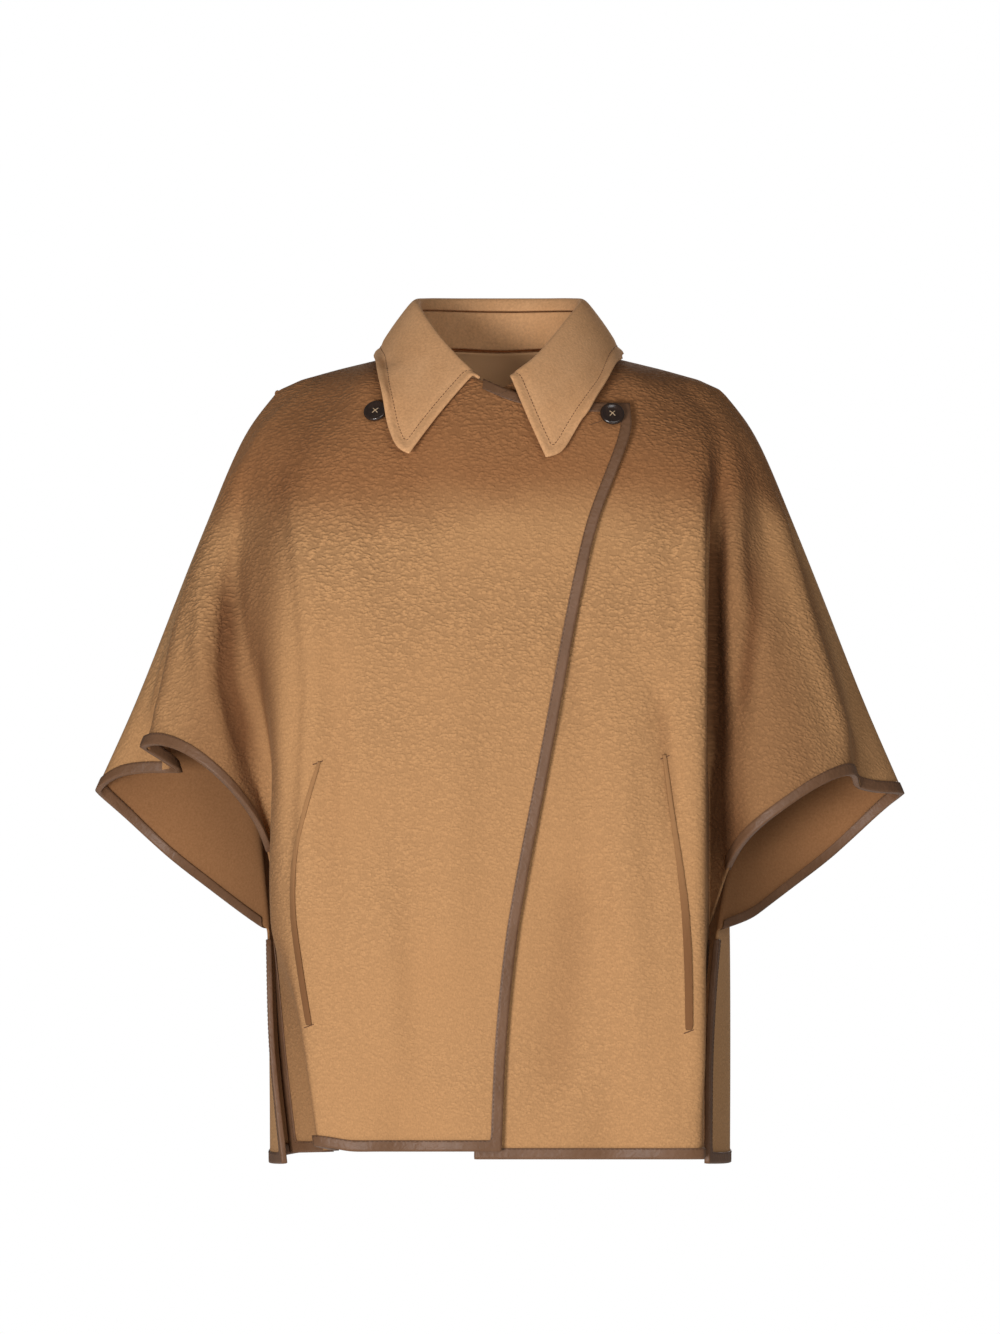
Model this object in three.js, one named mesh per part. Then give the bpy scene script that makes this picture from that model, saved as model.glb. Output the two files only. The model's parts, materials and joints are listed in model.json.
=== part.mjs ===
// Cashmere cape-jacket, worn with no wearer. Units mm. +Z up, the front faces -Y, the wearer's right is -X.
// z = 0 is the height of the shoulder line beside the neck, x = 0 the middle, y = 0 the middle of the depth.
import * as THREE from "three";

// Driving sizes
const WALL = 2.4; // cashmere, two faces of cloth pressed together
const SEAM = 0.3; // gap left between pieces at a seam
const LEATHER = 0.9; // binding leather
const LEG = 9; // width of the binding on each face
const CLEAR = 0.4; // gap between the binding and the cloth it wraps
const CUFF_CLEAR = 0.85; // the same at the cuffs, where the cloth turns tightly
const COLLAR = 3; // collar, cloth folded double
const SEAM_Y = 5; // depth of the shoulder seam
const NECK_HALF = 75; // half the neck's width
const NECK_RISE = 24; // how far the form's neck stands above the shoulder line

// Shoulder line and top of the sleeve, seen from the front: distance from the middle, height
const SHOULDER = [
  [75, 16], [113, 7], [146, -1], [178, -10], [198, -19], [209.5, -29], [221.5, -47], [230.5, -65],
  [246, -101], [271, -164], [307, -254], [342, -337], [362, -380], [420, -520],
];
function shoulderAt(a) {
  if (a < NECK_HALF) return 16 + NECK_RISE * (1 - (a / NECK_HALF) ** 2);
  let k = 0;
  while (k < SHOULDER.length - 2 && a > SHOULDER[k + 1][0]) k++;
  const [a0, z0] = SHOULDER[k], [a1, z1] = SHOULDER[k + 1];
  return z0 + ((a - a0) / (a1 - a0)) * (z1 - z0);
}
// The tables are drawn as an elevation seen from EYE, so depth draws a point in or out from its centre.
const EYE = { z: -267.3, away: 3500 };
const drawn = (x, y, z) => new THREE.Vector3(x * (1 + y / EYE.away), y, EYE.z + (z - EYE.z) * (1 + y / EYE.away));
// The form the cloth hangs on: depth of its front and back at (x, z)
const form = {
  front: (x, z) => {
    const d = Math.max(0, shoulderAt(Math.abs(x)) - z);
    return SEAM_Y - 60 * (1 - Math.exp(-d / 18)) - 75 * (1 - Math.exp(-d / 130)) - 0.006 * d;
  },
  back: (x, z) => {
    const d = Math.max(0, shoulderAt(Math.abs(x)) - z);
    return SEAM_Y + 55 * (1 - Math.exp(-d / 16)) + 52 * (1 - Math.exp(-d / 140)) + 0.012 * d;
  },
};

// Heights of the stations down the body. Sleeve lines end at the cuff, where "under" is.
const LEVEL = { yoke: -58, chest: -125, bust: -200, waist: -340, under: -503, hip: -600, hem: -702 };
const ROWS = { yoke: 3, chest: 2, bust: 3, waist: 3, under: 3, hip: 2, hem: 3 }; // rows to each station from the one above
const STATIONS = ["top", ...Object.keys(LEVEL)];

// Fold lines. Body rows: cuts to the next line, the top's x and z (z null: on the shoulder line), then x and depth from the form at each station.
// Side rows give x, y, z at each station instead.
const body = (name, cuts, x, z, xs, lifts) => ({ name, cuts, x, z, xs, lifts });
const side = (name, cuts, x, ...points) => ({ name, cuts, x, points });

const RIGHT_FRONT = [
  //   name  cuts  top x, z     x at yoke chest bust waist under hip hem          depth from the form at top yoke ... hem
  body("edge", 3, 115.5, -32, [116.5, 90, 72, 46, 15, 4.5, 0], [-6, -6, -6, -6, -6, -6, -6, -7]),
  body("lap", 2, 72, -30.5, [73, 53, 37, 10, -15, -26, -32], [-6, -6, -6, -6, -6, -8, -9, -10]),
  body("cross", 2, 15, -23, [18, 4, -8, -30, -48, -58, -64], [-6, -6, -6, -6, -8, -9, -8, -6]),
  body("throat", 2, -15, -10, [-18, -30, -40, -60, -78, -86, -92], [-6, -6, -6, -6, -7, -6, -5, -5]),
  body("neck", 2, -48, -2, [-56, -70, -80, -94, -106, -110, -114], [-3, -6, -6, -6, -5, -6, -8, -9]),
  body("point", 2, -75, null, [-96, -112, -120, -130, -140, -138, -134], [0, -6, -6, -4, -3, -5, -6, -7]),
  side("fall", 2, -112, [-138, -84, -58], [-150, -103, -125], [-156, -117, -200], [-166, -124, -340], [-172, -126, -503], [-163, -132, -600], [-150, -136, -699]),
  side("ridge", 2, -128, [-178, -62, -58], [-186, -88, -125], [-192, -105, -200], [-197, -112, -340], [-193, -110, -503], [-179, -122, -600], [-166, -129, -697]),
  side("tuck", 2, -142, [-204, -48, -58], [-213, -66, -125], [-219, -79, -200], [-204, -92, -340], [-206, -80, -503], [-168, -97, -600], [-146, -99, -702]),
  side("side", 2, -154, [-219, -34, -56], [-232, -44, -122], [-240, -61, -203], [-206, -70, -335], [-200.5, -51, -503], [-197.5, -45, -600], [-187, -46, -703]),
  side("crook", 2, -162, [-220.5, -29, -57], [-236, -43, -122], [-249, -63, -202], [-227, -73, -318], [-204, -53, -458]),
  side("arm1", 2, -170, [-221.5, -25, -57], [-240, -40, -122], [-257, -61, -201], [-245, -86, -305], [-216, -78, -408]),
  side("arm2", 2, -178, [-222.5, -20, -58], [-244, -35, -122], [-266, -56, -200], [-265, -84, -293], [-260, -99, -358]),
  side("arm3", 2, -185, [-223.5, -16, -58], [-248, -28, -122], [-275, -46, -199], [-287, -70, -283], [-300, -80, -336]),
  side("crest", 2, -188, [-224.8, -12, -58], [-251.5, -19, -122], [-282, -33, -200], [-303, -47, -281], [-322, -54, -338.5]),
  side("dip", 1, -192, [-226.2, -8, -58], [-254, -9, -122], [-285, -16, -201], [-303, -20, -292], [-287, -22, -361]),
  side("roll", 1, -194.5, [-227.3, -4, -58], [-255, -4, -122], [-286.4, -7, -201], [-317, -7, -296], [-338, -6, -360]),
  side("turn", 1, -197, [-228, 0.5, -58], [-255.6, 0, -122], [-287, -1, -200], [-323, 1, -297], [-357.5, 8, -372]),
  side("seam", 0, -200, [-228.3, 5, -58], [-256, 5, -122], [-287.5, 5, -200], [-325.5, 9, -297], [-361.5, 15, -377]),
];
const LEFT_FRONT = [
  body("edge", 3, -108, -34, [-110, -88, -72, -46, -20, -21, -22], [7, 7, 5, 1, 0, 0, 0, 0]),
  body("lap", 2, -68, -32, [-70, -53, -37, -12, 5, 8, 10], [4, 4, 2, 0, 0, 0, 0, 0]),
  body("cross", 2, -15, -25, [-18, -4, 8, 26, 38, 40, 42], [0, 0, 0, 0, 0, 0, 0, 0]),
  body("throat", 2, 15, -10, [18, 30, 40, 55, 66, 68, 70], [0, 0, 0, 0, -1, -2, -1, 0]),
  body("neck", 2, 48, -2, [56, 70, 80, 90, 98, 100, 102], [0, 0, 0, -1, 0, 3, 6, 7]),
  body("point", 2, 75, null, [96, 110, 118, 128, 134, 136, 138], [0, 0, 0, 1, 0, -3, -2, 0]),
  side("fall", 2, 112, [140, -75, -58], [152, -102, -125], [156, -117, -200], [160, -127, -340], [162, -131, -503], [163, -133, -600], [164, -134, -709]),
  side("ridge", 2, 128, [184, -62, -58], [186, -92, -125], [184.5, -110, -200], [182, -120, -340], [182, -124, -503], [182, -126, -600], [182, -127, -709]),
  side("tuck", 2, 142, [193, -53, -58], [189, -74, -125], [186, -82, -200], [184, -78, -340], [184, -72, -503], [181, -88, -600], [180, -95, -709]),
  side("side", 2, 154, [200, -45, -57], [195, -66, -124], [190, -68, -203], [187, -52, -335], [187, -37, -503], [179, -47, -600], [176.5, -52, -709]),
  side("crook", 2, 162, [206, -41, -57], [205, -68, -122], [205, -78, -202], [202, -68, -320], [205, -58, -448]),
  side("arm1", 2, 170, [211, -36, -57], [218, -62, -122], [227, -80, -201], [228, -88, -308], [222, -90, -420]),
  side("arm2", 2, 178, [217, -28, -58], [230, -45, -121], [246, -64, -200], [254, -86, -298], [256, -98, -393]),
  side("arm3", 2, 185, [221.5, -20, -58], [240, -34, -121], [262, -54, -200], [280, -72, -290], [290, -84, -371]),
  side("crest", 2, 188, [224, -13, -58], [248, -22, -121], [275, -36, -198], [299, -47, -284], [318, -57, -362]),
  side("dip", 1, 192, [226.2, -8, -58], [253, -9, -122], [283, -15, -200], [310, -20, -292], [321, -30, -375]),
  side("roll", 1, 194.5, [227.3, -4, -58], [255, -4, -122], [286.2, -7, -200], [318, -9, -296], [340, -12, -379]),
  side("turn", 1, 197, [228, 0.5, -58], [255.6, 0, -122], [287, -1, -200], [323, 0, -297], [354, 2, -379]),
  side("seam", 0, 200, [228.3, 5, -58], [256, 5, -122], [287.5, 5, -200], [325.5, 9, -297], [361.5, 15, -380]),
];
// One half of the back, for the wearer's right; the left half is its mirror with its own lower edge.
const backHalf = (s, slit) => [
  body("point", 2, s * 75, null, [90, 98, 104, 112, 118, 119, 118].map((x) => s * x), [0, 2, 3, 3, 2, 0, -2, -3]),
  side("fall", 2, s * 112, [s * 128, 66, -58], [s * 134, 86, -125], [s * 138, 100, -200], [s * 146, 107, -340], [s * 156, 104, -503], [s * 158, 106, -600], [s * 158, 110, -700]),
  side("ridge", 2, s * 128, [s * 160, 60, -58], [s * 168, 82, -125], [s * 174, 98, -200], [s * 182, 100, -340], [s * 197, 66, -503], [s * 199, 70, -600], [s * 199, 72, -706]),
  side("tuck", 2, s * 142, [s * 188, 51, -58], [s * 200, 74, -125], [s * 208, 92, -200], [s * 207, 88, -340], [s * 207, 12, -503], [s * 207, 14, -600], [s * 206.5, 14, -713]),
  side("side", 2, s * 154, [s * 205, 42, -57], [s * 220, 64, -123], [s * 232, 82, -201], [s * 224, 68, -342], ...slit),
  side("crook", 2, s * 162, [s * 211, 35, -57], [s * 230, 55, -122], [s * 246, 72, -201], [s * 241, 68, -326], [s * 222, -24, -494]),
  side("arm1", 2, s * 170, [s * 216, 32, -58], [s * 238, 46, -122], [s * 259, 61, -201], [s * 261, 68, -312], [s * 241, 2, -480]),
  side("arm2", 2, s * 178, [s * 220, 27, -58], [s * 245, 36, -122], [s * 270, 49, -200], [s * 282, 60, -303], [s * 266, 28, -461]),
  side("arm3", 2, s * 185, [s * 223, 23, -58], [s * 250, 27, -122], [s * 279, 36, -200], [s * 301, 48, -298], [s * 300, 48, -435]),
  side("crest", 2, s * 188, [s * 225, 19, -58], [s * 253.5, 19, -122], [s * 284, 25, -200], [s * 314, 34, -296], [s * 334, 44, -404]),
  side("dip", 1, s * 192, [s * 226.4, 15, -58], [s * 255, 13, -122], [s * 286.5, 15, -200], [s * 322, 22, -297], [s * 351, 33, -389]),
  side("roll", 1, s * 194.5, [s * 227.4, 12, -58], [s * 255.6, 9, -122], [s * 287.2, 10, -200], [s * 324.5, 17, -297], [s * 358, 27, s < 0 ? -383 : -384]),
  side("turn", 1, s * 197, [s * 228, 9, -58], [s * 255.9, 7, -122], [s * 287.4, 7.5, -200], [s * 325.3, 12.5, -297], [s * 361.2, 20, s < 0 ? -379 : -381]),
  side("seam", 0, s * 200, [s * 228.3, 5, -58], [s * 256, 5, -122], [s * 287.5, 5, -200], [s * 325.5, 9, -297], [s * 361.5, 15, s < 0 ? -377 : -380]),
];
const BACK_MIDDLE = [
  body("half", 2, -40, 17, [-48, -54, -58, -62, -64, -62, -60], [0, 0, 1, 0, 2, 4, 6, 8]),
  body("middle", 2, 0, 15, [0, 0, 0, 0, 0, 0, 0], [0, 0, 0, 0, -3, -4, -5, -6]),
  body("half", 2, 40, 17, [48, 54, 58, 64, 68, 70, 72], [0, 0, 0, 1, 3, 5, 6, 8]),
];
const SLIT_RIGHT = [[-208.5, -42, -503], [-206, -60, -600], [-194, -63, -713]];
const SLIT_LEFT = [[196, -58, -503], [188, -66, -600], [186.5, -70, -713]];

// Cubic through rows of numbers, its knots from the square root of the distance between the first three of each
function knotsOf(rows) {
  const t = [0];
  for (let k = 1; k < rows.length; k++)
    t.push(t[k - 1] + Math.max(1e-3, Math.hypot(...[0, 1, 2].map((c) => rows[k][c] - rows[k - 1][c]))) ** 0.5);
  return t;
}
function through(rows, t, k, u) {
  const h = t[k + 1] - t[k];
  const slope = (j) => {
    if (j === 0) return rows[0].map((v, c) => (rows[1][c] - v) / (t[1] - t[0]));
    if (j === rows.length - 1) return rows[j].map((v, c) => (v - rows[j - 1][c]) / (t[j] - t[j - 1]));
    const a = t[j] - t[j - 1], b = t[j + 1] - t[j];
    return rows[j].map((v, c) => (((rows[j + 1][c] - v) / b) * a + ((v - rows[j - 1][c]) / a) * b) / (a + b));
  };
  const m0 = slope(k), m1 = slope(k + 1), u2 = u * u, u3 = u2 * u;
  return rows[k].map((v, c) =>
    (2 * u3 - 3 * u2 + 1) * v + (u3 - 2 * u2 + u) * h * m0[c] + (3 * u2 - 2 * u3) * rows[k + 1][c] + (u3 - u2) * h * m1[c]);
}
const distance = (p, q) => Math.hypot(p[0] - q[0], p[1] - q[1], p[2] - q[2]);

// Stations of a line as [x, y, z, form's depth]
function stationsOf(line, face) {
  const f = form[face];
  const z0 = line.z ?? shoulderAt(Math.abs(line.x));
  const rows = [[line.x, line.xs ? f(line.x, z0) + line.lifts[0] : SEAM_Y, z0, f(line.x, z0)]];
  if (line.xs) line.xs.forEach((x, k) => {
    const z = Object.values(LEVEL)[k] + (k === 6 ? line.drop ?? 0 : 0);
    rows.push([x, f(x, z) + line.lifts[k + 1], z, f(x, z)]);
  });
  else for (const [x, y, z] of line.points) rows.push([x, y, z, f(x, z)]);
  return rows;
}

// A panel: fold lines side by side make a grid of columns and rows, L-shaped where the sleeve ends at the cuff.
function panel(lines, face) {
  const guides = lines.map((line) => stationsOf(line, face));
  const underAt = STATIONS.indexOf("under");
  // rows as [interval, share], with one row a binding's width inside the top, cuff and hem
  const rows = [[0, 0]];
  let cuffRow = 0;
  STATIONS.slice(1).forEach((name, k) => {
    if (k === 0 || STATIONS[k] === "under") rows.push([k, "in"]);
    for (let c = 1; c < ROWS[name]; c++) rows.push([k, c / ROWS[name]]);
    if (name === "under" || name === "hem") rows.push([k, "out"]);
    rows.push([k, 1]);
    if (name === "under") cuffRow = rows.length - 1;
  });
  const share = (length, which) => {
    const part = Math.min(0.45, LEG / length);
    return which === "in" ? part : which === "out" ? 1 - part : which;
  };
  const long = guides.map((g) => g.length === STATIONS.length);
  const grid = rows.map(([k, u], r) => {
    const here = guides.map((g, n) => {
      if (k >= g.length - 1) return null;
      const v = share(distance(g[k], g[k + 1]), u);
      if (k > 0 || lines[n].xs) return through(g, knotsOf(g), k, v);
      // over the shoulder a line runs out level first and then turns down
      const p = through(g, knotsOf(g), 0, v ** 1.5), level = g[0][1] + (g[1][1] - g[0][1]) * (1 - (1 - v) ** 2.6);
      p[1] = THREE.MathUtils.lerp(level, p[1], THREE.MathUtils.smoothstep(v, 0, 1));
      return p;
    });
    const first = long.indexOf(true), last = long.lastIndexOf(true);
    const from = r > cuffRow ? first : 0, to = r > cuffRow ? last : lines.length - 1;
    const breaks = r === 0 ? lines.map((l, n) => (l.name === "point" ? n : -1)).filter((n) => n > 0) : [];
    const out = [];
    let column = 0;
    for (let n = 0; n < lines.length; n++) {
      const cuts = Math.max(1, lines[n].cuts), outside = n < from || n >= to;
      for (let c = 0; c < cuts && n < lines.length - 1; c++, column++) {
        if (outside && !(n === to && c === 0)) continue;
        if (n === to) { out[column] = here[n]; continue; }
        let u = c / cuts;
        const gap = distance(here[n], here[n + 1]);
        if (c === 1 && lines[n].bound === "start") u = share(gap, "in");
        if (c === cuts - 1 && c > 0 && lines[n].bound === "end") u = share(gap, "out");
        const lo = Math.max(from, ...breaks.filter((b) => b <= n)), hi = Math.min(to, ...breaks.filter((b) => b > n));
        const used = here.slice(lo, hi + 1);
        out[column] = through(used, knotsOf(used), n - lo, u);
      }
    }
    if (to === lines.length - 1) out[column] = here[lines.length - 1];
    return out.map((p) => {
      if (!p) return null;
      const [x, y, z, f] = p, a = Math.abs(x);
      const w = THREE.MathUtils.smoothstep(155 - a, 0, 40);
      return drawn(x, y + w * (form[face](x, z) - f), z);
    });
  });
  const columns = [0];
  lines.slice(0, -1).forEach((l) => columns.push(columns.at(-1) + Math.max(1, l.cuts)));
  const at = (name, from = 0) => columns[lines.findIndex((l, k) => k >= from && l.name === name)];
  return { grid, columns, at, cuffRow, rows: grid.length, lines };
}

// A sheet: points, outward normals and quads, from a grid with gaps in it
function sheetOf(grid, flip) {
  const points = [], id = grid.map((row) => row.map((p) => (p ? points.push(p.clone()) - 1 : -1)));
  const quads = [], place = new Map();
  for (let r = 0; r + 1 < grid.length; r++)
    for (let c = 0; c + 1 < Math.min(id[r].length, id[r + 1].length); c++) {
      const q = [id[r][c], id[r][c + 1], id[r + 1][c + 1], id[r + 1][c]];
      if (q.some((v) => v === undefined || v < 0)) continue;
      place.set(r + "," + c, quads.length);
      quads.push(flip ? [q[0], q[3], q[2], q[1]] : q);
    }
  const normals = points.map(() => new THREE.Vector3());
  for (const [a, b, c, d] of quads)
    for (const [i, j, k] of [[a, b, c], [a, c, d]]) {
      const n = points[j].clone().sub(points[i]).cross(points[k].clone().sub(points[i]));
      for (const v of [i, j, k]) normals[v].add(n);
    }
  normals.forEach((n) => n.normalize());
  return { points, normals, quads, id, place };
}
// Seam points that two sheets share get one normal between them, and each sheet stops half a gap short.
function sew(a, b) {
  const key = (p) => [p.x, p.y, p.z].map((v) => Math.round(v * 50)).join();
  const found = new Map(a.points.map((p, i) => [key(p), i]));
  const shared = [];
  b.points.forEach((p, j) => { const i = found.get(key(p)); if (i !== undefined) shared.push([i, j]); });
  for (const [i, j] of shared) {
    const n = a.normals[i].clone().add(b.normals[j]).normalize();
    a.normals[i].copy(n);
    b.normals[j].copy(n);
  }
  return shared;
}
function drawBack(sheet, ids, gap) {
  for (const v of ids) sheet.points[v].y += gap;
}
const finish = (color, roughness) => new THREE.MeshStandardMaterial({ color, roughness, metalness: 0 });
const MATERIALS = { cloth: finish(0xb98a5c, 0.95), bind: finish(0x78553d, 0.55), button: finish(0x1c1512, 0.25) };
function meshOf(name, verts, faces) {
  const g = new THREE.BufferGeometry();
  g.setAttribute("position", new THREE.Float32BufferAttribute(verts.flatMap((v) => [v.x, v.y, v.z]), 3));
  g.setIndex(faces.flatMap((f) => (f.length === 4 ? [f[0], f[1], f[2], f[0], f[2], f[3]] : f)));
  g.computeVertexNormals();
  const mesh = new THREE.Mesh(g, MATERIALS[name.split("_")[0]] ?? MATERIALS.cloth);
  mesh.name = name;
  return mesh;
}
const borderOf = (quads) => {
  const all = new Map();
  for (const q of quads) for (let k = 0; k < 4; k++) all.set(q[k] + ">" + q[(k + 1) % 4], [q[k], q[(k + 1) % 4]]);
  return [...all.values()].filter(([a, b]) => !all.has(b + ">" + a));
};
// A wall of even thickness on a sheet
function wall(name, sheet, thick) {
  const n = sheet.points.length, verts = [1, -1].flatMap((s) => sheet.points.map((p, i) => p.clone().addScaledVector(sheet.normals[i], (s * thick) / 2)));
  // the inner face is cut along the same diagonal as the outer one
  const faces = sheet.quads.flatMap(([a, b, c, d]) => [[a, b, c], [a, c, d], [a + n, c + n, b + n], [a + n, d + n, c + n]]);
  for (const [a, b] of borderOf(sheet.quads)) faces.push([b, a, a + n], [b, a + n, b + n]);
  return meshOf(name, verts, faces);
}
// Leather folded round the edge of a sheet, as wide as the outermost strip of quads
function binding(name, sheet, quads, isBound, clear = CLEAR) {
  const outline = borderOf(quads), out = new Map();
  const bound = outline.filter(isBound), free = outline.filter((e) => !isBound(e));
  for (const [a, b] of bound) {
    const along = sheet.points[b].clone().sub(sheet.points[a]).normalize();
    for (const v of [a, b]) {
      const o = along.clone().cross(sheet.normals[v]).normalize();
      out.set(v, [...(out.get(v) ?? []), o]);
    }
  }
  const edges = new Set(bound.flatMap(([a, b]) => [a, b])), inner = new Map();
  for (const q of quads) q.forEach((v, k) => {
    if (edges.has(v)) for (const u of [q[(k + 1) % 4], q[(k + 3) % 4]]) if (!edges.has(u)) inner.set(v, u);
  });
  const layers = [[1, LEATHER], [1, 0], [-1, 0], [-1, LEATHER]], id = new Map(), verts = [];
  for (const v of new Set(quads.flat())) {
    const o = out.get(v), shift = new THREE.Vector3();
    if (o) {
      shift.copy(o[0]).add(o[1] ?? o[0]).divideScalar(1 + Math.max(-0.4, o[0].dot(o[1] ?? o[0])));
      if (inner.has(v)) {
        // the fold of the leather carries on the cloth's own line across the edge
        const w = sheet.points[v].clone().sub(sheet.points[inner.get(v)]).normalize(), share = w.dot(shift) / shift.length();
        if (share > 0.4) shift.copy(w).divideScalar(share);
      }
    }
    id.set(v, layers.map(([s, more]) =>
      verts.push(sheet.points[v].clone().addScaledVector(shift, clear + more).addScaledVector(sheet.normals[v], s * (WALL / 2 + clear + more))) - 1));
  }
  const [TO, TI, BI, BO] = [0, 1, 2, 3].map((k) => (v) => id.get(v)[k]);
  const faces = [];
  for (const [a, b, c, d] of quads)
    for (const t of [[a, b, c], [a, c, d]]) {
      const r = [t[0], t[2], t[1]];
      faces.push(t.map(TO), r.map(TI), t.map(BI), r.map(BO));
    }
  for (const [a, b] of bound) faces.push([TO(b), TO(a), BO(a), BO(b)], [TI(a), TI(b), BI(b), BI(a)]);
  for (const [a, b] of free) faces.push([TO(b), TO(a), TI(a), TI(b)], [BI(b), BI(a), BO(a), BO(b)]);
  const freeFrom = new Set(free.map(([a]) => a)), freeTo = new Set(free.map(([, b]) => b));
  for (const [, v] of bound) if (freeFrom.has(v)) faces.push([TO(v), BO(v), BI(v), TI(v)]);
  for (const [v] of bound) if (freeTo.has(v)) faces.push([TO(v), TI(v), BI(v), BO(v)]);
  return meshOf(name, verts, faces);
}
// Where a line along one axis meets a sheet's outer face first: its depth at (x, z), or its height at (x, y)
const faceAt = (sheet, x, z) => firstMet(sheet, "x", "z", "y", x, z, -1);
const topAt = (sheet, x, y) => firstMet(sheet, "x", "y", "z", x, y, 1);
function firstMet(sheet, U, V, W, x, z, way) {
  let best = null;
  const P = sheet.points.map((p, i) => p.clone().addScaledVector(sheet.normals[i], WALL / 2));
  for (const q of sheet.quads)
    for (const [i, j, k] of [[q[0], q[1], q[2]], [q[0], q[2], q[3]]]) {
      const [A, B, C] = [P[i], P[j], P[k]];
      const det = (B[V] - C[V]) * (A[U] - C[U]) + (C[U] - B[U]) * (A[V] - C[V]);
      if (Math.abs(det) < 1e-9) continue;
      const u = ((B[V] - C[V]) * (x - C[U]) + (C[U] - B[U]) * (z - C[V])) / det;
      const v = ((C[V] - A[V]) * (x - C[U]) + (A[U] - C[U]) * (z - C[V])) / det;
      if (u < -1e-6 || v < -1e-6 || u + v > 1 + 1e-6) continue;
      const w = u * A[W] + v * B[W] + (1 - u - v) * C[W];
      if (best === null || (w - best) * way > 0) best = w;
    }
  return best;
}

// Panels
const markBound = (lines, names) => lines.map((l) => ({ ...l, bound: names[l.name] }));
const rightFront = panel(markBound(RIGHT_FRONT, { edge: "start", tuck: "end", side: "start" }), "front");
const leftFront = panel(markBound(LEFT_FRONT.map((l) => ({ ...l, drop: -7 })), { edge: "start", tuck: "end", side: "start" }), "front");
const half = backHalf(-1, SLIT_RIGHT).reverse(), otherHalf = backHalf(1, SLIT_LEFT);
const turned = half.map((l, k) => ({ ...l, cuts: k + 1 < half.length ? half[k + 1].cuts : 2 }));
const backLines = [...turned, ...BACK_MIDDLE, ...otherHalf].map((l) => ({ ...l, drop: -9 }));
backLines.forEach((l, k) => {
  if (l.name === "side") l.bound = "start";
  if ((l.name === "tuck" && l.x > 0) || (l.name === "crook" && l.x < 0)) l.bound = "end";
  if (["point", "half", "middle"].includes(l.name)) l.drop = 4;
});
const back = panel(backLines, "back");
const sheets = { right: sheetOf(rightFront.grid, false), left: sheetOf(leftFront.grid, true), back: sheetOf(back.grid, false) };
const seamR = sew(sheets.right, sheets.back), seamL = sew(sheets.left, sheets.back);

// Bindings. Each takes the strip of quads along the bound edges.
function strip(sheet, cells) {
  return cells.map(([r, c]) => sheet.place.get(r + "," + c)).filter((k) => k !== undefined).map((k) => sheet.quads[k]);
}
const range = (a, b) => Array.from({ length: Math.max(0, b - a) }, (_, k) => a + k);
// Leather round a front: neck edge from the throat to the corner, the slanted edge, the hem and the slit.
function frontBinding(name, grid, sheet, parts, from) {
  const hem = grid.rows - 1, slit = grid.at("side"), free = grid.at(from);
  const cells = [];
  if (parts.includes("edge")) range(0, free).forEach((c) => cells.push([0, c])), range(1, hem).forEach((r) => cells.push([r, 0]));
  if (parts.includes("hem")) range(parts.includes("edge") ? 0 : 1, slit).forEach((c) => cells.push([hem - 1, c]));
  if (parts.includes("slit")) range(grid.cuffRow + 1, hem - 1).forEach((r) => cells.push([r, slit - 1]));
  const unique = [...new Map(cells.map((c) => [c.join(), c])).values()];
  const edge = new Set(borderOf(sheet.quads).map((e) => e.join(">")));
  const seamIds = new Set(range(free + 1, sheet.id[0].length).map((c) => sheet.id[0][c]));
  return binding(name, sheet, strip(sheet, unique), ([a, b]) => edge.has(a + ">" + b) && !seamIds.has(a) && !seamIds.has(b));
}
// Leather round a cuff, from the underarm up the front, over the seam and down the back
function cuffBinding(name, columns, flip, turnedFrom = Infinity) {
  const rows = [0, 1].map((r) => columns.map((c) => c[r].p));
  const s = sheetOf(rows, flip);
  columns.forEach((c, k) => [0, 1].forEach((r) => s.normals[s.id[r][k]].copy(c[r].n)));
  // where the columns run against the cloth's own, the quads are cut along its diagonals
  s.quads = s.quads.map((q, k) => (k >= turnedFrom ? [q[1], q[2], q[3], q[0]] : q));
  const lower = new Set(s.id[1]);
  return binding(name, s, s.quads, ([a, b]) => lower.has(a) && lower.has(b), CUFF_CLEAR);
}
const cuffColumns = (grid, sheet, from, to) => {
  const step = from < to ? 1 : -1, out = [];
  for (let c = from; c !== to + step; c += step)
    out.push([grid.cuffRow - 1, grid.cuffRow].map((r) => ({ p: sheet.points[sheet.id[r][c]].clone(), n: sheet.normals[sheet.id[r][c]].clone() })));
  return out;
};
const backSide = [back.at("side"), back.at("side", lineIndex("side", 1))];
function lineIndex(name, nth) {
  return backLines.map((l, k) => (l.name === name ? k : -1)).filter((k) => k >= 0)[nth];
}
const frontLast = rightFront.columns.at(-1), backLast = back.columns.at(-1);
const cuffs = {
  right: [...cuffColumns(rightFront, sheets.right, rightFront.at("crook") + 1, frontLast), ...cuffColumns(back, sheets.back, 1, backSide[0] - 1)],
  left: [...cuffColumns(leftFront, sheets.left, leftFront.at("crook"), frontLast), ...cuffColumns(back, sheets.back, backLast - 1, backSide[1] + 1)],
};
const bindings = [
  frontBinding("bind_front_right", rightFront, sheets.right, ["edge", "hem", "slit"], "throat"),
  frontBinding("bind_front_left", leftFront, sheets.left, ["edge", "hem", "slit"], "cross"),
  cuffBinding("bind_cuff_right", cuffs.right, false),
  cuffBinding("bind_cuff_left", cuffs.left, true, frontLast - leftFront.at("crook")),
];
{
  const hem = back.rows - 1, cells = range(backSide[0], backSide[1]).map((c) => [hem - 1, c]);
  range(back.cuffRow + 1, hem - 1).forEach((r) => cells.push([r, backSide[0]], [r, backSide[1] - 1]));
  const edge = new Set(borderOf(sheets.back.quads).map((e) => e.join(">")));
  bindings.push(binding("bind_back", sheets.back, strip(sheets.back, cells), ([a, b]) => edge.has(a + ">" + b)));
}

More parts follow.
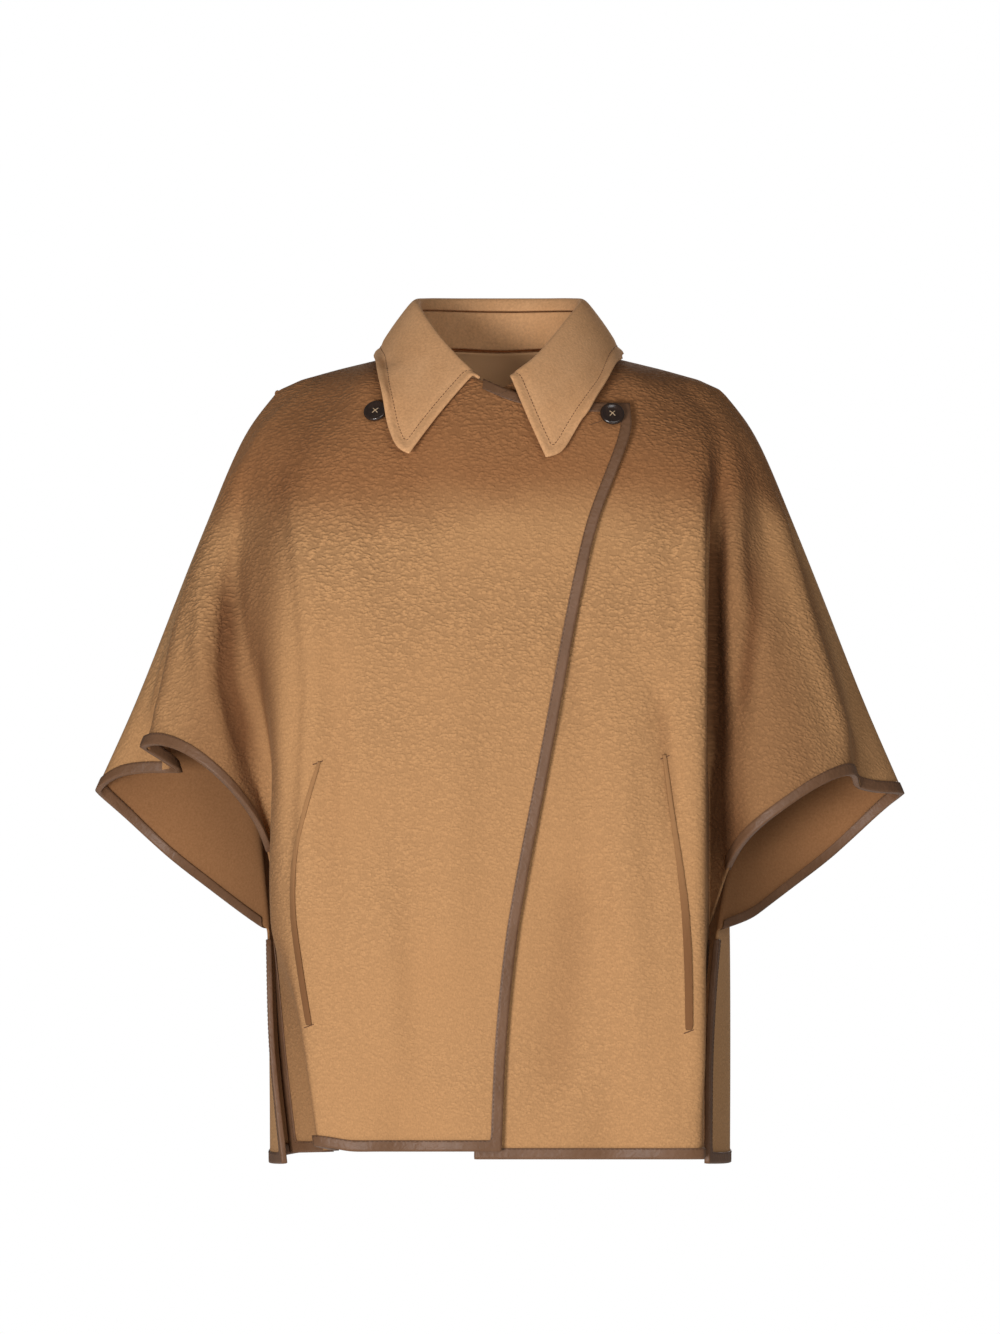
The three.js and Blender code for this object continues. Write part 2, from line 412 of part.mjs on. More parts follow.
// Collar and stand. Table for each side, from the middle of the back to the throat:
// share of the neck's length; the roll's crest; the collar's outer edge; how far its middle swells
const COLLAR_RIGHT = [
  [0, [0, 66, 63.5], [0, 98, 6], 3],
  [0.22, [-40, 58, 63.5], [-56, 88, 7], 3],
  [0.4, [-67, 36, 63.5], [-98, 58, 9], 3],
  [0.54, [-75.5, 8, 62], [-112.5, 12, 12], 2],
  [0.68, [-70, -20, 50], [-112, -36, -6], 2],
  [0.82, [-54, -48, 28], [-105, -82.5, -37.5], 4],
  [0.92, [-37, -67, 9.5], [-97.5, -104, -62], 3],
  [0.965, [-29.5, -75.5, 2], [-91, -111, -74], 3],
  [1, [-22, -81, -4], [-81.5, -113, -76], 2],
];
const COLLAR_LEFT = [
  [0, [0, 66, 63.5], [0, 98, 6], 3],
  [0.22, [40, 58, 63.5], [56, 88, 7], 3],
  [0.4, [66, 36, 63.5], [98, 58, 9], 3],
  [0.54, [74, 8, 62], [111, 12, 12], 2],
  [0.68, [65, -20, 50], [104, -38, -8], 2],
  [0.82, [46, -50, 27], [84, -82, -38], 4],
  [0.92, [28, -71, 8], [61, -105, -66], 4],
  [0.965, [18, -79, 1], [53.5, -113, -78.5], 4],
  [1, [9, -84.5, -5], [41, -116, -79], 3],
];
const neckPath = [
  ...range(rightFront.at("throat"), rightFront.at("point")).map((c) => rightFront.grid[0][c]),
  ...range(back.at("point"), back.at("point", lineIndex("point", 1))).map((c) => back.grid[0][c]),
  leftFront.grid[0][leftFront.at("point")],
  ...range(leftFront.at("throat"), leftFront.at("point")).reverse().map((c) => leftFront.grid[0][c]),
];
const neckRows = neckPath.map((p) => [p.x, p.y, p.z]);
const neckLength = [0];
neckRows.slice(1).forEach((p, k) => neckLength.push(neckLength[k] + distance(p, neckRows[k])));
function alongNeck(s) {
  const want = ((s + 1) / 2) * neckLength.at(-1);
  let k = 0;
  while (k < neckRows.length - 2 && want > neckLength[k + 1]) k++;
  const t = neckLength;
  return new THREE.Vector3(...through(neckRows, t, k, (want - t[k]) / (t[k + 1] - t[k])));
}
function collarAt(s) {
  const table = s < 0 ? COLLAR_RIGHT : COLLAR_LEFT, a = Math.abs(s);
  const rows = table.map(([at, roll, edge, swell]) => [...roll, ...edge, swell, at]);
  let k = 0;
  while (k < table.length - 2 && a > table[k + 1][0]) k++;
  const v = through(rows, table.map((r) => r[0]), k, (a - table[k][0]) / (table[k + 1][0] - table[k][0]));
  return { roll: drawn(...v.slice(0, 3)), edge: drawn(...v.slice(3, 6)), swell: v[6] };
}
// Moves a point out of the fronts' way, so that cloth lies on them with a gap
function restOn(p, gap) {
  for (const sheet of [sheets.right, sheets.left, sheets.back]) {
    const dy = p.y - ((sheet === sheets.back ? null : faceAt(sheet, p.x, p.z)) ?? Infinity) + gap, dz = (topAt(sheet, p.x, p.y) ?? -Infinity) - p.z + gap;
    if (dz <= 0 || dz === -Infinity) continue;
    if (sheet !== sheets.back && dy <= 0) continue;
    if (dy === -Infinity || !Number.isFinite(dy)) { p.z += Math.min(dz, 25); continue; }
    const h = Math.hypot(dy, dz);
    p.y -= (dy * dz * dz) / (h * h);
    p.z += (dz * dy * dy) / (h * h);
  }
}
const COLLAR_COLUMNS = 44;
const collarRows = [], standRows = [];
for (let n = 0; n <= COLLAR_COLUMNS; n++) {
  const s = -1 + (2 * n) / COLLAR_COLUMNS, { roll, edge, swell } = collarAt(s), base = alongNeck(s);
  const up = roll.clone().sub(base).normalize(), fall = edge.clone().sub(roll).normalize();
  const out = fall.clone().add(up).normalize(), high = roll.distanceTo(base);
  const seam = Math.min(11, 0.42 * high), half = 1.1 + Math.min(1.9, high * 0.05);
  const from = (a, o, d) => roll.clone().addScaledVector(out, o).addScaledVector(d, a);
  const down = up.clone().negate(), shoulder = from(5, half + 0.3, fall);
  const over = [0.22, 0.45, 0.7, 0.92, 1].map((t) => shoulder.clone().lerp(edge, t).addScaledVector(out, swell * Math.sin(Math.PI * t)));
  for (const p of over) restOn(p, COLLAR / 2 + 4 + (p.x > 20 ? 13 * Math.exp(-(((p.z + 34) / 20) ** 2)) : 0) + 14 * Math.exp(-(((p.x + 104) / 19) ** 2) - ((p.z + 38) / 19) ** 2));
  collarRows.push([from(seam, -half - 0.2, down), from(4, -half, down), from(1, -half * 0.62, down), from(0, 0, down), from(1.2, half * 0.7, fall), shoulder, ...over]);
  const top = from(seam + (high < 20 ? 2.2 : 1.2), -half - 0.2, down), foot = base.clone().addScaledVector(up, 2.3);
  if (Math.abs(s) < 0.86) standRows.push([0, 0.35, 0.7, 1].map((t) => foot.clone().lerp(top, t)));
}
const columnsToGrid = (cols) => cols[0].map((_, r) => cols.map((c) => c[r]));
const collar = wall("collar", sheetOf(columnsToGrid(collarRows), true), COLLAR);
const stand = wall("collar_stand", sheetOf(columnsToGrid(standRows), false), WALL);

// Pocket welts, laid on the fronts: x, z down the welt's middle, and its half width
function welt(name, sheet, table) {
  const rows = [];
  for (let k = 0; k + 1 < table.length; k++)
    for (const u of k + 2 === table.length ? [0, 0.25, 0.5, 0.75, 1] : [0, 0.25, 0.5, 0.75]) {
      const [x, z, w] = through(table.map(([a, b, c]) => [a, b, c]), knotsOf(table.map(([a, b]) => [a, b, 0])), k, u);
      rows.push([x, z, w]);
    }
  const grid = rows.map(([x, z, w]) => [-1, -0.33, 0.33, 1].map((e) => {
    const y = faceAt(sheet, x + e * w, z);
    return new THREE.Vector3(x + e * w, y - CLEAR - 0.55 - (Math.abs(e) < 0.5 ? 0.25 : 0), z);
  }));
  return wall(name, sheetOf(grid, true), 0.9);
}
const WELT_RIGHT = [[-162, -352, 1.4], [-175, -400, 2], [-184, -440, 2.4], [-186, -490, 2.6], [-180, -540, 2.8], [-172, -590, 2.8]];
const WELT_LEFT = [[148, -345, 1.6], [157, -410, 2.2], [163, -455, 2.8], [167, -494, 3.2], [169, -545, 3.2], [169.5, -594, 3]];
// Rows of a welt on the sheet: a place nearer the eye than the middle of the garment looks farther out
const toSeen = (sheet, rows) => rows.map(([x, z, w]) => {
  const near = 0.964, y = faceAt(sheet, x * near, EYE.z + (z - EYE.z) * near) ?? -125;
  const s = 1 + y / EYE.away;
  return [x * s, EYE.z + (z - EYE.z) * s, w];
});

// Horn buttons with a raised rim and four holes
const BUTTON = { across: 21.6, thick: 4.2, rim: 2.4, dish: 0.9, hole: 1.7, holesApart: 5.2 };
function button(name, sheet, x, z, facing, lift) {
  const R = BUTTON.across / 2, T = BUTTON.thick / 2, n = 28;
  const profile = [[0, -T], [R - 1.6, -T], [R - 0.3, -T * 0.5], [R, 0], [R - 0.4, T * 0.7], [R - 1.2, T], [R - BUTTON.rim, T * 0.9], [R - BUTTON.rim - 0.9, T - BUTTON.dish], [0, T - BUTTON.dish]];
  const g = new THREE.LatheGeometry(profile.map(([r, h]) => new THREE.Vector2(r, h)), n);
  const mesh = new THREE.Mesh(g, MATERIALS.button);
  mesh.name = name;
  const y = faceAt(sheet, x, z);
  mesh.quaternion.setFromUnitVectors(new THREE.Vector3(0, 1, 0), new THREE.Vector3(...facing).normalize());
  mesh.position.set(x, y - lift, z);
  return mesh;
}

// Places of the buttons: one closes the lap at its corner, one stands by the collar's other point
const lapButton = drawn(100.8, -80, -40), sideButton = drawn(-111.6, -70, -37.8);
drawBack(sheets.right, seamR.map(([i]) => i), -SEAM / 2);
drawBack(sheets.left, seamL.map(([i]) => i), -SEAM / 2);
drawBack(sheets.back, [...seamR, ...seamL].map(([, j]) => j), SEAM / 2);

const root = new THREE.Group();
root.name = "cape_jacket";
root.add(
  wall("front_right", sheets.right, WALL), wall("front_left", sheets.left, WALL), wall("back", sheets.back, WALL),
  ...bindings, collar, stand,
  welt("pocket_right", sheets.right, toSeen(sheets.right, WELT_RIGHT)), welt("pocket_left", sheets.left, toSeen(sheets.left, WELT_LEFT)),
  button("button_left", sheets.right, lapButton.x, lapButton.z, [0.1, -0.88, 0.45], 6.4), button("button_right", sheets.right, sideButton.x, sideButton.z, [-0.22, -0.8, 0.55], 4.2),
);
export default root;
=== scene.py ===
"""Cashmere cape-jacket, dressed in cloth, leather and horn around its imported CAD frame.

Every panel is a thin shell on its solid's own form, with the soft creases of heavy coating
laid on it from a table. Leather bindings, pocket welts, buttons and sewing follow.
Sizes are in metres in the meshes and in millimetres in the tables.
"""

import json
import math
from collections import namedtuple

import bmesh
import bpy
import numpy as np
from bpy.props import FloatProperty, FloatVectorProperty, IntProperty, PointerProperty
from mathutils import Matrix, Vector
from mathutils.bvhtree import BVHTree
from mathutils.kdtree import KDTree

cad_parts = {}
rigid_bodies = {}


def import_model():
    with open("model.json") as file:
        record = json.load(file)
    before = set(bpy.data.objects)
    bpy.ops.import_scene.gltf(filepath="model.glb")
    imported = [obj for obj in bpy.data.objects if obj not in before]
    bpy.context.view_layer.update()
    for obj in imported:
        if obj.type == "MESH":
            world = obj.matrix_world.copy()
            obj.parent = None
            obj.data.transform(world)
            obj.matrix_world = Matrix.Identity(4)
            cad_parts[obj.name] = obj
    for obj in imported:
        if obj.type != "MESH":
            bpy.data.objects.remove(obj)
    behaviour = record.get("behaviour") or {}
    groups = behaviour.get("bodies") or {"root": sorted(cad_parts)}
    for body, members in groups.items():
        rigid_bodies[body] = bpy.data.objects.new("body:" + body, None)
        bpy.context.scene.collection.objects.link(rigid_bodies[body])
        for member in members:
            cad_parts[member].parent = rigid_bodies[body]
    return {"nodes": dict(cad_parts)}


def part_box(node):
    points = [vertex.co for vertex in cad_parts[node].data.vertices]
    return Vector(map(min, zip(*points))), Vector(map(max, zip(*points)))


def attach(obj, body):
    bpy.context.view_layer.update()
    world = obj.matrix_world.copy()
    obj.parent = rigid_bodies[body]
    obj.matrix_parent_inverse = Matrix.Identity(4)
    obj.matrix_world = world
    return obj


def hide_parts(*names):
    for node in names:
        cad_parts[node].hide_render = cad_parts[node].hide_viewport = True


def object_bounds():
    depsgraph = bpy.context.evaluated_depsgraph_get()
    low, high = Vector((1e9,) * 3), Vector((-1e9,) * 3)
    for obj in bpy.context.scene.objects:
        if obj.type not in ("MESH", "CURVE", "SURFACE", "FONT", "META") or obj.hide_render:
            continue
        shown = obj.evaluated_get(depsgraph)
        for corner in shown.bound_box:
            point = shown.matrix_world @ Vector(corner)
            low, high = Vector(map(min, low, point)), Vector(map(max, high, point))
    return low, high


bl_info = {
    "name": "Cashmere cape-jacket",
    "version": (1, 0, 0),
    "blender": (4, 5, 0),
    "location": "View3D > Sidebar > Jacket",
    "description": "Cloth, leather, sewing and buttons of a cape-jacket on its frame",
    "category": "Object",
}

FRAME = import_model()
CAD_LOW, CAD_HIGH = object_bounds()
MM = 0.001
WELD = 0.00002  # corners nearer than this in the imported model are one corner


# ---- colours and nodes


def linear(hex_colour):
    """An sRGB hex colour as the linear RGBA that shaders use."""
    parts = [int(hex_colour[i : i + 2], 16) / 255 for i in (1, 3, 5)]
    out = [c / 12.92 if c <= 0.04045 else ((c + 0.055) / 1.055) ** 2.4 for c in parts]
    return (*out, 1.0)


def add(tree, kind, links=None, **values):
    """Adds a node. values set its properties, or sockets by name; links joins sockets to it."""
    node = tree.nodes.new(kind)
    for key, value in values.items():
        if hasattr(node, key):
            setattr(node, key, value)
        else:
            node.inputs[key.replace("_", " ")].default_value = value
    for key, source in (links or {}).items():
        tree.links.new(source, node.inputs[key])
    return node


def new_material(name):
    material = bpy.data.materials.new(name)
    material.use_nodes = True
    material.node_tree.nodes.clear()
    return material, material.node_tree


def finish_material(material, viewport, links, **values):
    """Gives a material its surface, and the plain colour that it has in the viewport."""
    tree = material.node_tree
    shader = add(tree, "ShaderNodeBsdfPrincipled", links, **values)
    add(tree, "ShaderNodeOutputMaterial", {"Surface": shader.outputs["BSDF"]})
    material.diffuse_color = linear(viewport)
    return material


def object_places(tree):
    return add(tree, "ShaderNodeTexCoord").outputs["Object"]


def noise(tree, where, scale, output="Fac", **values):
    node = add(tree, "ShaderNodeTexNoise", {"Vector": where}, Scale=scale, **values)
    return node.outputs[output]


def spread(tree, value, span=(0.0, 1.0), onto=(0.0, 1.0), curve="LINEAR"):
    """Spreads one span of a value onto another, and holds it at the ends."""
    node = add(tree, "ShaderNodeMapRange", {"Value": value}, interpolation_type=curve)
    for name, number in zip(("From Min", "From Max", "To Min", "To Max"), (*span, *onto)):
        node.inputs[name].default_value = number
    return node.outputs[0]


def blend(tree, share, a, b):
    """Mixes two colours, each a linear RGBA or a socket."""
    node = add(tree, "ShaderNodeMix", {"Factor": share}, data_type="RGBA")
    for name, colour in (("A", a), ("B", b)):
        if isinstance(colour, bpy.types.NodeSocket):
            tree.links.new(colour, node.inputs[name])
        else:
            node.inputs[name].default_value = colour
    return node.outputs["Result"]


def product(tree, a, b):
    return add(tree, "ShaderNodeMath", {0: a, 1: b}, operation="MULTIPLY").outputs[0]


def dimmed(tree, colour, factor):
    """A colour times a factor."""
    links = {0: colour, "Scale": factor}
    return add(tree, "ShaderNodeVectorMath", links, operation="SCALE").outputs[0]


def relief(tree, height, strength, distance, over=None):
    """A bump of the surface, laid over another bump's normal if there is one."""
    links = {"Height": height}
    if over is not None:
        links["Normal"] = over
    node = add(tree, "ShaderNodeBump", links, Strength=strength, Distance=distance)
    return node.outputs[0]


def rippled_cashmere():
    """Zibeline cashmere coating: woven, milled, then brushed and steamed into short ripples.
    The eye sees small level wavelets on a matt camel ground, with a pale bloom at grazing
    angles."""
    cloth, tones = bpy.context.scene.jacket_cloth, bpy.context.scene.jacket_colours
    material, tree = new_material("Zibeline cashmere, brushed")
    uv = add(tree, "ShaderNodeUVMap", uv_map="cut").outputs["UV"]
    where = object_places(tree)
    height = add(tree, "ShaderNodeSeparateXYZ", {"Vector": where}).outputs["Z"]
    # ripples: waves of the nap lie level, each a little wider than it is high
    wander = noise(tree, uv, 190.0, "Color", Detail=2.0)
    drift = add(tree, "ShaderNodeVectorMath", {0: wander}, operation="SCALE", Scale=0.004)
    links = {0: uv, 1: drift.outputs[0]}
    moved = add(tree, "ShaderNodeVectorMath", links, operation="ADD")
    per_metre = (1 / (cloth.ripple_width * MM), 1 / (cloth.ripple_height * MM), 1)
    laid = add(tree, "ShaderNodeMapping", {"Vector": moved.outputs[0]}, Scale=per_metre)
    links = {"Vector": laid.outputs[0]}
    ripple = add(tree, "ShaderNodeTexVoronoi", links, feature="SMOOTH_F1", Scale=1.0)
    ripple.inputs["Smoothness"].default_value = 0.35
    crests = spread(tree, ripple.outputs["Distance"], (0.75, 0.15), curve="SMOOTHSTEP")
    # where the nap lies flatter: broad patches, and most of the lower front
    patch = noise(tree, where, 7.0, Detail=2.0)
    high = spread(tree, height, (-0.52, -0.14), (0.45, 1.0), "SMOOTHSTEP")
    strength = product(tree, high, spread(tree, patch, (0.35, 0.65), (0.35, 1.0)))
    # hairs: brushed fibres, drawn twice as coarse as they are so that they show
    slant = (0, 0, math.radians(20))
    hairs_at = add(tree, "ShaderNodeMapping", {"Vector": uv}, Scale=(700, 420, 1), Rotation=slant)
    hairs = noise(tree, hairs_at.outputs[0], 1.0, Detail=3.0, Roughness=0.6)
    ground = blend(tree, patch, tones.coat_dull, tones.coat_clear)
    # painted shade: over the shoulders and chest the coat's colour is painted darker
    wobbled_height = add(tree, "ShaderNodeMath", {0: patch, 2: height}, operation="MULTIPLY_ADD")
    wobbled_height.inputs[1].default_value = 0.07
    top_shade_share = spread(tree, wobbled_height.outputs[0], (-0.125, -0.065), curve="SMOOTHSTEP")
    toned = blend(tree, top_shade_share, ground, tones.coat_top_shade)
    # painted shade: the colour is painted darker in the troughs, on turned-away flanks and over
    # the sleeves, as the attribute stored on the sheets says
    hidden = add(tree, "ShaderNodeAttribute", attribute_name="depth").outputs["Fac"]
    shaded = blend(tree, hidden, toned, tones.coat_crease_shade)
    # painted shade: the troughs between the ripples are painted darker, as much as the ripples
    # are strong
    shade = spread(tree, crests, onto=(0.74, 1.08))
    fleck = spread(tree, hairs, (0.3, 0.7), (0.86, 1.12))
    links = {"Factor": strength, "B": shade}
    soft = add(tree, "ShaderNodeMix", links, data_type="FLOAT", A=1.0)
    both = product(tree, soft.outputs[0], fleck)
    fine = relief(tree, hairs, 0.25, 0.0006)
    coarse = relief(tree, product(tree, crests, strength), 0.8, 0.0014, fine)
    return finish_material(
        material,
        "#b98858",
        {"Base Color": dimmed(tree, shaded, both), "Normal": coarse},
        Roughness=0.9,
        IOR=1.45,
        Specular_IOR_Level=0.15,
        Sheen_Weight=0.12,
        Sheen_Roughness=0.45,
        Sheen_Tint=linear("#e8c39a"),
    )


def melton_cashmere():
    """The same cashmere milled hard and cropped, as used doubled in the collar.
    It is smooth to the eye, a shade paler, with a fine even felt of fibres."""
    material, tree = new_material("Melton cashmere, milled")
    where = object_places(tree)
    felt = noise(tree, where, 430.0, Detail=3.0, Roughness=0.65)
    cloud = noise(tree, where, 38.0, Detail=2.0)
    tones = bpy.context.scene.jacket_colours
    ground = blend(tree, cloud, tones.collar_dull, tones.collar_clear)
    fleck = spread(tree, felt, (0.3, 0.7), (0.84, 1.1))
    return finish_material(
        material,
        "#c0925f",
        {"Base Color": dimmed(tree, ground, fleck), "Normal": relief(tree, felt, 0.5, 0.001)},
        Roughness=0.92,
        IOR=1.45,
        Specular_IOR_Level=0.12,
        Sheen_Weight=0.15,
        Sheen_Roughness=0.5,
        Sheen_Tint=linear("#ecc9a2"),
    )


def inner_cashmere():
    """The coating's unbrushed inner face: flat close felt, browner than the outside, partly its
    own tone and partly painted shade of the inside; painted paler towards the neck as painted
    light."""
    material, tree = new_material("Zibeline cashmere, inner face")
    where = object_places(tree)
    height = add(tree, "ShaderNodeSeparateXYZ", {"Vector": where}).outputs["Z"]
    felt = noise(tree, where, 520.0, Detail=3.0)
    ground = blend(tree, felt, linear("#7d5535"), linear("#996d49"))
    # painted light: the inside is painted paler towards the neck, where it lies in shadow
    painted_light_near_neck = spread(tree, height, (-0.11, -0.05))
    return finish_material(
        material,
        "#8b6240",
        {
            "Base Color": blend(tree, painted_light_near_neck, ground, linear("#d2a478")),
            "Normal": relief(tree, felt, 0.3, 0.0006),
        },
        Roughness=0.95,
        IOR=1.45,
        Specular_IOR_Level=0.1,
    )


def bound_leather():
    """Aniline lambskin, skived and folded over the cloth's edge. It is smooth and slightly
    waxy, cloudy in tone, with a fine pore and shallow cross creases."""
    material, tree = new_material("Lambskin leather, folded")
    tones, where = bpy.context.scene.jacket_colours, object_places(tree)
    tone = noise(tree, where, 26.0, Detail=3.0)
    pores = add(tree, "ShaderNodeTexVoronoi", {"Vector": where}, Scale=1400.0)
    crease = noise(tree, where, 190.0, Detail=2.0, Distortion=0.6)
    fine = relief(tree, pores.outputs["Distance"], 0.12, 0.0003)
    return finish_material(
        material,
        "#78553d",
        {
            "Base Color": blend(tree, tone, tones.leather_dark, tones.leather_pale),
            "Normal": relief(tree, crease, 0.6, 0.0012, fine),
        },
        Roughness=0.48,
        IOR=1.5,
        Specular_IOR_Level=0.3,
    )


def polished_horn():
    """Buffalo horn, turned and polished: near black, with faint brown streaks, wet gloss."""
    material, tree = new_material("Buffalo horn, polished")
    links = {"Vector": object_places(tree)}
    along = add(tree, "ShaderNodeMapping", links, Scale=(260, 260, 60))
    streak = noise(tree, along.outputs[0], 1.0, Detail=3.0, Distortion=0.8)
    colour = blend(tree, streak, linear("#120c0a"), linear("#38271e"))
    links = {"Base Color": colour}
    return finish_material(material, "#1c1512", links, Roughness=0.22, IOR=1.54)


def sewing_thread(name, colour):
    """Core-spun polyester thread, twisted: matt with a slight lustre along each stitch."""
    material, tree = new_material(name)
    twist = noise(tree, object_places(tree), 1500.0)
    light = linear(colour)
    dark = (*[c * 0.7 for c in light[:3]], 1)
    ground = blend(tree, twist, dark, light)
    return finish_material(material, colour, {"Base Color": ground}, Roughness=0.6)


def plain_floor():
    """Painted board: matt, pale and even."""
    material, _ = new_material("Painted floor, matt white")
    return finish_material(
        material,
        "#f4f3f1",
        {},
        Roughness=0.95,
        Base_Color=linear("#f4f3f1"),
        Emission_Color=linear("#ffffff"),
        Emission_Strength=0.2,
    )


MATERIALS = {}


def material_of(name):
    """The named material, made the first time it is asked for."""
    makers = {
        "cloth": rippled_cashmere,
        "inside": inner_cashmere,
        "collar": melton_cashmere,
        "leather": bound_leather,
        "horn": polished_horn,
        "floor": plain_floor,
        "brown thread": lambda: sewing_thread("Thread, brown", "#4f3524"),
        "camel thread": lambda: sewing_thread("Thread, camel", "#6b4526"),
        "pale thread": lambda: sewing_thread("Thread, pale", "#cdb08c"),
    }
    if name not in MATERIALS:
        MATERIALS[name] = makers[name]()
    return MATERIALS[name]


# ---- cloth from its solid


def link(name, mesh, material=None):
    """A mesh as an object of the scene, at the origin."""
    piece = bpy.data.objects.new(name, mesh)
    bpy.context.scene.collection.objects.link(piece)
    if material:
        mesh.materials.clear()
        mesh.materials.append(material_of(material))
    return piece


def mesh_from(name, points, edges=(), faces=()):
    mesh = bpy.data.meshes.new(name)
    mesh.from_pydata([tuple(p) for p in points], edges, faces)
    mesh.update()
    return mesh


def mesh_of(bm, name):
    """A bmesh as a mesh; the bmesh is freed."""
    mesh = bpy.data.meshes.new(name)
    bm.to_mesh(mesh)
    bm.free()
    return mesh


def join_into_quads(bm, bend):
    """Joins triangles whose faces turn by less than bend degrees."""
    limits = {
        "angle_face_threshold": math.radians(bend),
        "angle_shape_threshold": math.radians(75),
    }
    bmesh.ops.join_triangles(bm, faces=bm.faces, **limits)


def search_tree(places):
    tree = KDTree(len(places))
    for k, place in enumerate(places):
        tree.insert(place, k)
    tree.balance()
    return tree


def solid_of(node):
    """A copy of a node's solid with its loose triangles joined."""
    bm = bmesh.new()
    bm.from_mesh(FRAME["nodes"][node].data)
    bmesh.ops.remove_doubles(bm, verts=bm.verts, dist=WELD)
    bm.normal_update()
    bm.verts.ensure_lookup_table()
    bm.faces.ensure_lookup_table()
    return bm


def grown(bm, rim):
    """Sets of corners that hang together without crossing between two faces of the rim.
    The largest comes first."""
    left, groups = set(bm.verts), []
    while left:
        group, todo = set(), [left.pop()]
        while todo:
            corner = todo.pop()
            group.add(corner)
            for edge in corner.link_edges:
                other = edge.other_vert(corner)
                if other in left and not all(f in rim for f in edge.link_faces):
                    left.remove(other)
                    todo.append(other)
        groups.append(group)
    return sorted(groups, key=lambda group: (-len(group), min(c.index for c in group)))


def sides_of(bm, wall):
    """The two faces of a wall, as sets of corners, told apart by the rim between them.
    A face of the rim has an edge straight through the wall."""
    through = {e for e in bm.edges if abs(e.calc_length() - wall) < 0.01 * wall}
    groups = grown(bm, {f for f in bm.faces if any(e in through for e in f.edges)})
    if len(groups) == 1:  # the rim has a gap: add faces with nothing close behind them
        through = {e for e in bm.edges if abs(e.calc_length() - wall) < 0.03 * wall}
        tree, rim = BVHTree.FromBMesh(bm), set()
        for face in bm.faces:
            start = face.calc_center_median() - face.normal * 0.1 * wall
            _, behind, _, _ = tree.ray_cast(start, -face.normal, 1.5 * wall)
            backed = behind is not None and behind.dot(face.normal) < -0.7
            if not backed or any(e in through for e in face.edges):
                rim.add(face)
        groups = grown(bm, rim)
    sides, strays = groups[:2], {c for g in groups[2:] for c in g}
    while strays:  # a corner cut off by a fold goes with most of its neighbours
        for corner in sorted(strays, key=lambda c: c.index):
            near = [e.other_vert(corner) for e in corner.link_edges if e not in through]
            votes = [sum(other in side for other in near) for side in sides]
            if max(votes) > 0:
                sides[votes.index(max(votes))].add(corner)
                strays.remove(corner)
    return sides


def open_sheet(node, wall, facing):
    """One face of a wall as an open sheet of quads: the face that turns towards facing."""
    bm = solid_of(node)
    sides = sides_of(bm, wall)
    faces = [[f for f in bm.faces if all(v in s for v in f.verts)] for s in sides]

    def towards(side):
        return sum((f.normal * f.calc_area() for f in side), Vector()).dot(facing)

    chosen = set(max(faces, key=towards))
    drop = [f for f in bm.faces if f not in chosen]
    bmesh.ops.delete(bm, geom=drop, context="FACES")
    join_into_quads(bm, 55)
    return mesh_of(bm, node + "_sheet")


def lay_flat(piece, across):
    """Gives a sheet its cut as the UV map "cut", in metres, with the grain upright.
    across is the direction that runs to the right along the cloth, seen from outside."""
    mesh = piece.data
    while mesh.uv_layers:
        mesh.uv_layers.remove(mesh.uv_layers[0])
    mesh.uv_layers.new(name="cut")
    view = bpy.context.view_layer
    for other in view.objects:
        other.select_set(False)
    piece.select_set(True)
    view.objects.active = piece
    bpy.ops.object.mode_set(mode="EDIT")
    bpy.ops.mesh.select_all(action="SELECT")
    bpy.ops.uv.unwrap(method="CONFORMAL", margin=0)
    bpy.ops.object.mode_set(mode="OBJECT")
    mesh = piece.data
    layer = mesh.uv_layers["cut"]
    uv = np.zeros(len(mesh.loops) * 2)
    layer.data.foreach_get("uv", uv)
    uv = uv.reshape(-1, 2)
    corner = np.zeros(len(mesh.loops), int)
    mesh.loops.foreach_get("vertex_index", corner)
    place = points_of(mesh)[corner]
    target = np.column_stack([place @ np.array(across), place[:, 2]])
    flat_area = 0.0
    for face in mesh.polygons:
        ring = uv[list(face.loop_indices)]
        after = np.roll(ring, -1, axis=0)
        flat_area += abs((ring[:, 0] * after[:, 1] - ring[:, 1] * after[:, 0]).sum()) / 2
    scale = math.sqrt(sum(f.area for f in mesh.polygons) / flat_area)
    centred, goal = uv - uv.mean(0), target - target.mean(0)
    cross = (centred[:, 0] * goal[:, 1] - centred[:, 1] * goal[:, 0]).sum()
    turn = math.atan2(cross, (centred * goal).sum())
    c, s = math.cos(turn), math.sin(turn)
    uv = centred @ np.array([[c, s], [-s, c]]) * scale
    layer.data.foreach_set("uv", uv.ravel())


def corner_values(mesh, name):
    out = np.zeros(len(mesh.vertices) * 3)
    mesh.vertices.foreach_get(name, out)
    return out.reshape(-1, 3)


def points_of(mesh):
    return corner_values(mesh, "co")


def normals_of(mesh):
    return corner_values(mesh, "normal")


def move_points(mesh, points):
    mesh.vertices.foreach_set("co", np.asarray(points, float).ravel())
    mesh.update()


def write_depth(mesh, depth):
    """Stores how much painted shade darkens the cloth at each corner, from 0 to 1."""
    mesh.attributes.new("depth", "FLOAT", "POINT")
    mesh.attributes["depth"].data.foreach_set("value", depth)


def shade_smooth(mesh):
    for face in mesh.polygons:
        face.use_smooth = True


def apply_modifiers(piece):
    """Turns a piece and its modifiers into a plain mesh."""
    graph = bpy.context.evaluated_depsgraph_get()
    plain = bpy.data.meshes.new_from_object(piece.evaluated_get(graph))
    piece.modifiers.clear()
    old, piece.data = piece.data, plain
    bpy.data.meshes.remove(old)
    shade_smooth(plain)
    return piece


def subdivide(piece, levels):
    rounds = piece.modifiers.new("Round", "SUBSURF")
    rounds.levels = rounds.render_levels = levels
    rounds.boundary_smooth = "PRESERVE_CORNERS"
    return apply_modifiers(piece)


